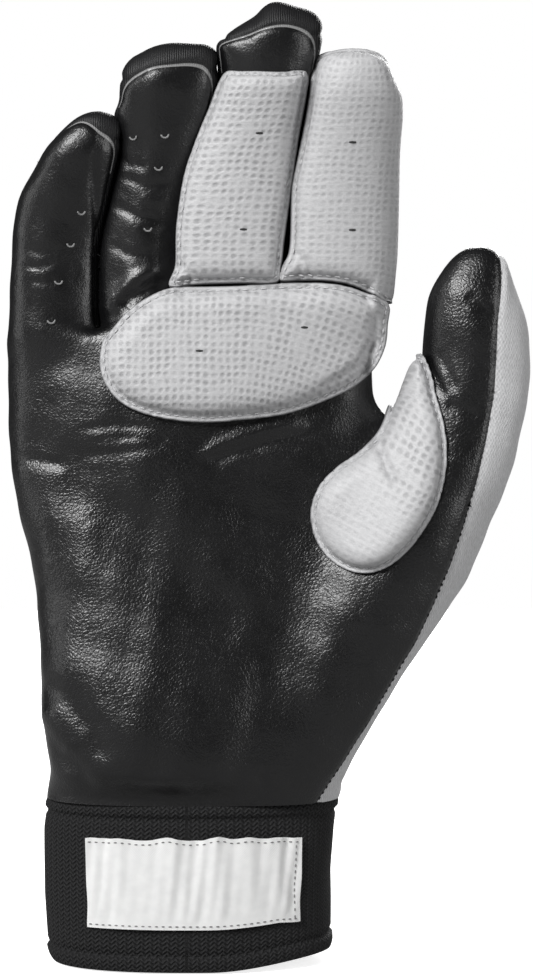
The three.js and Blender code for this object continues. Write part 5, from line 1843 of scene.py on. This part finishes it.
def sew_label():
    """Rows of stitches along the foot and the right end of the label, and along its head."""
    foot = np.arange(label_arcs[0] + 1.0, label_arcs[1] - 0.8, LABEL_STITCH_STEP)
    side = np.arange(LABEL_LOW + 1.4, LABEL_HIGH - 1.2, LABEL_STITCH_STEP)
    rows = [
        (foot, np.full(len(foot), LABEL_LOW + 0.9), 0),
        (foot, np.full(len(foot), LABEL_HIGH - 1.0), 0),
        (np.full(len(side), label_arcs[1] - 1.6), side, 1),
    ]
    for arc, z, way in rows:
        lift, height = label_shape(arc, z)
        step = 0.4 * np.array([1 - way, way])
        lift_ahead, height_ahead = label_shape(arc + step[0], z + step[1])
        places = on_cuff(arc, height, lift + 0.1)
        runs = unit(on_cuff(arc + step[0], height_ahead, lift_ahead + 0.1) - places)
        ups = square_to(on_cuff(arc, height, lift + 1.0) - places, runs)
        with_thread(label, *stitch_beads(places, runs, ups, LABEL_STITCH, SEAM_STITCH_RADIUS), GREY_THREAD)


sew_label()

# The closing tab and its tapes, on the back of the cuff: where each starts and ends across
TAPE_HEIGHTS = (9.5, 33.3)
TAB_HEIGHTS = (7.9, 34.9)
TAB_WALL = 1.8
TAPE_WALL = 1.2
ROOT_WALL = 3.2
TAB_CORNERS = (0, 7)
tab_body = "closure_tab_body"
loop_arcs, hook_arcs, tab_arcs, root_arcs = (
    (arc_at(start, back=True), arc_at(end, back=True))
    for start, end in ((1.7, -29.4), (1.7, -29.2), (19.2, -32.4), (28.6, 18.6))
)
patch("loop_tape_pile", "loop_patch", "loop_tape", "hand", loop_arcs, TAPE_HEIGHTS, 1.6, TAPE_WALL)
patch("hook_tape_hooks", "hook_patch", "hook_tape", tab_body, hook_arcs, TAPE_HEIGHTS, 3.3, TAPE_WALL)
patch("closing_tab", "closure_tab", "black_knit", tab_body, tab_arcs, TAB_HEIGHTS, 5.4, TAB_WALL, TAB_CORNERS)
patch("tab_root_sewn", "tab_root", "black_knit", "hand", root_arcs, TAB_HEIGHTS, 3.4, ROOT_WALL)

# Camera: square to the palm, with the photograph's frame on a plane through the middle of the glove's front
CAMERA_DISTANCE = 0.52
REFERENCE_PLANE = -0.008
SENSOR = 36
camera_data = bpy.data.cameras.new("camera")
camera_data.sensor_width = SENSOR
camera_data.lens = SENSOR * CAMERA_DISTANCE / (PHOTO_HEIGHT * PIXEL * MM)
camera = bpy.data.objects.new("camera", camera_data)
camera.location = (
    (PHOTO_WIDTH / 2 - ORIGIN_PIXEL[0]) * PIXEL * MM,
    REFERENCE_PLANE - CAMERA_DISTANCE,
    (ORIGIN_PIXEL[1] - PHOTO_HEIGHT / 2) * PIXEL * MM,
)
camera.rotation_euler = (math.pi / 2, 0, 0)
scene = bpy.context.scene
scene.collection.objects.link(camera)
scene.camera = camera
scene.view_settings.view_transform = "Standard"

# Soft lamps: place, what each is turned to, width and height, and power
AIM_HEIGHT = 0.12
LAMPS = {
    "key_left": ((-0.95, -1.25, 1.3), (0, 0, AIM_HEIGHT), (0.7, 0.9), 50),
    "side_right": ((0.9, -0.45, 0.3), (0.03, 0, AIM_HEIGHT), (0.3, 0.9), 4),
    "side_left": ((-0.95, -0.15, 0.2), (0, 0, AIM_HEIGHT), (0.25, 0.9), 2),
    "back": ((0.5, 1.4, 0.9), (0, 0, AIM_HEIGHT), (0.8, 0.8), 22),
}
for name, (place, target, size, power) in LAMPS.items():
    data = bpy.data.lights.new(name, "AREA")
    data.shape = "RECTANGLE"
    data.size, data.size_y = size
    data.energy = power
    lamp = bpy.data.objects.new(name, data)
    lamp.location = place
    lamp.rotation_euler = (Vector(target) - Vector(place)).to_track_quat("-Z", "Y").to_euler()
    scene.collection.objects.link(lamp)

# The world and the floor look white to the camera, and light the glove as plain greys
WORLD_LIGHT = (0.06, 0.06, 0.06)
FLOOR_GREY = (0.3, 0.3, 0.3)
FLOOR_WHITE = (0.9, 0.9, 0.9)
FLOOR_GLOW = 0.8
FLOOR_REACH = 1.5
FLOOR_DROP = 0.0005

world = bpy.data.worlds.new("studio")
scene.world = world
world.use_nodes = True
tree = world.node_tree
seen = add(tree, "ShaderNodeLightPath").outputs["Is Camera Ray"]
tree.links.new(tint(tree, seen, WORLD_LIGHT, (1, 1, 1)), tree.nodes["Background"].inputs["Color"])

corners = [(x * FLOOR_REACH, y * FLOOR_REACH, 0) for x, y in ((-1, -1), (1, -1), (1, 1), (-1, 1))]
floor_mesh = bpy.data.meshes.new("floor")
floor_mesh.from_pydata(corners, [], [(0, 1, 2, 3)])
floor = bpy.data.objects.new("floor", floor_mesh)
floor.location = (0, 0, -FLOOR_DROP)
scene.collection.objects.link(floor)
material, tree, shader = new_material("floor", FLOOR_WHITE, 0.9)
seen = add(tree, "ShaderNodeLightPath").outputs["Is Camera Ray"]
tree.links.new(tint(tree, seen, FLOOR_GREY, FLOOR_WHITE), shader.inputs["Base Color"])
shader.inputs["Emission Color"].default_value = (1, 1, 1, 1)
glow = math_node(tree, "MULTIPLY", seen, FLOOR_GLOW)
tree.links.new(glow, shader.inputs["Emission Strength"])
floor_mesh.materials.append(material)
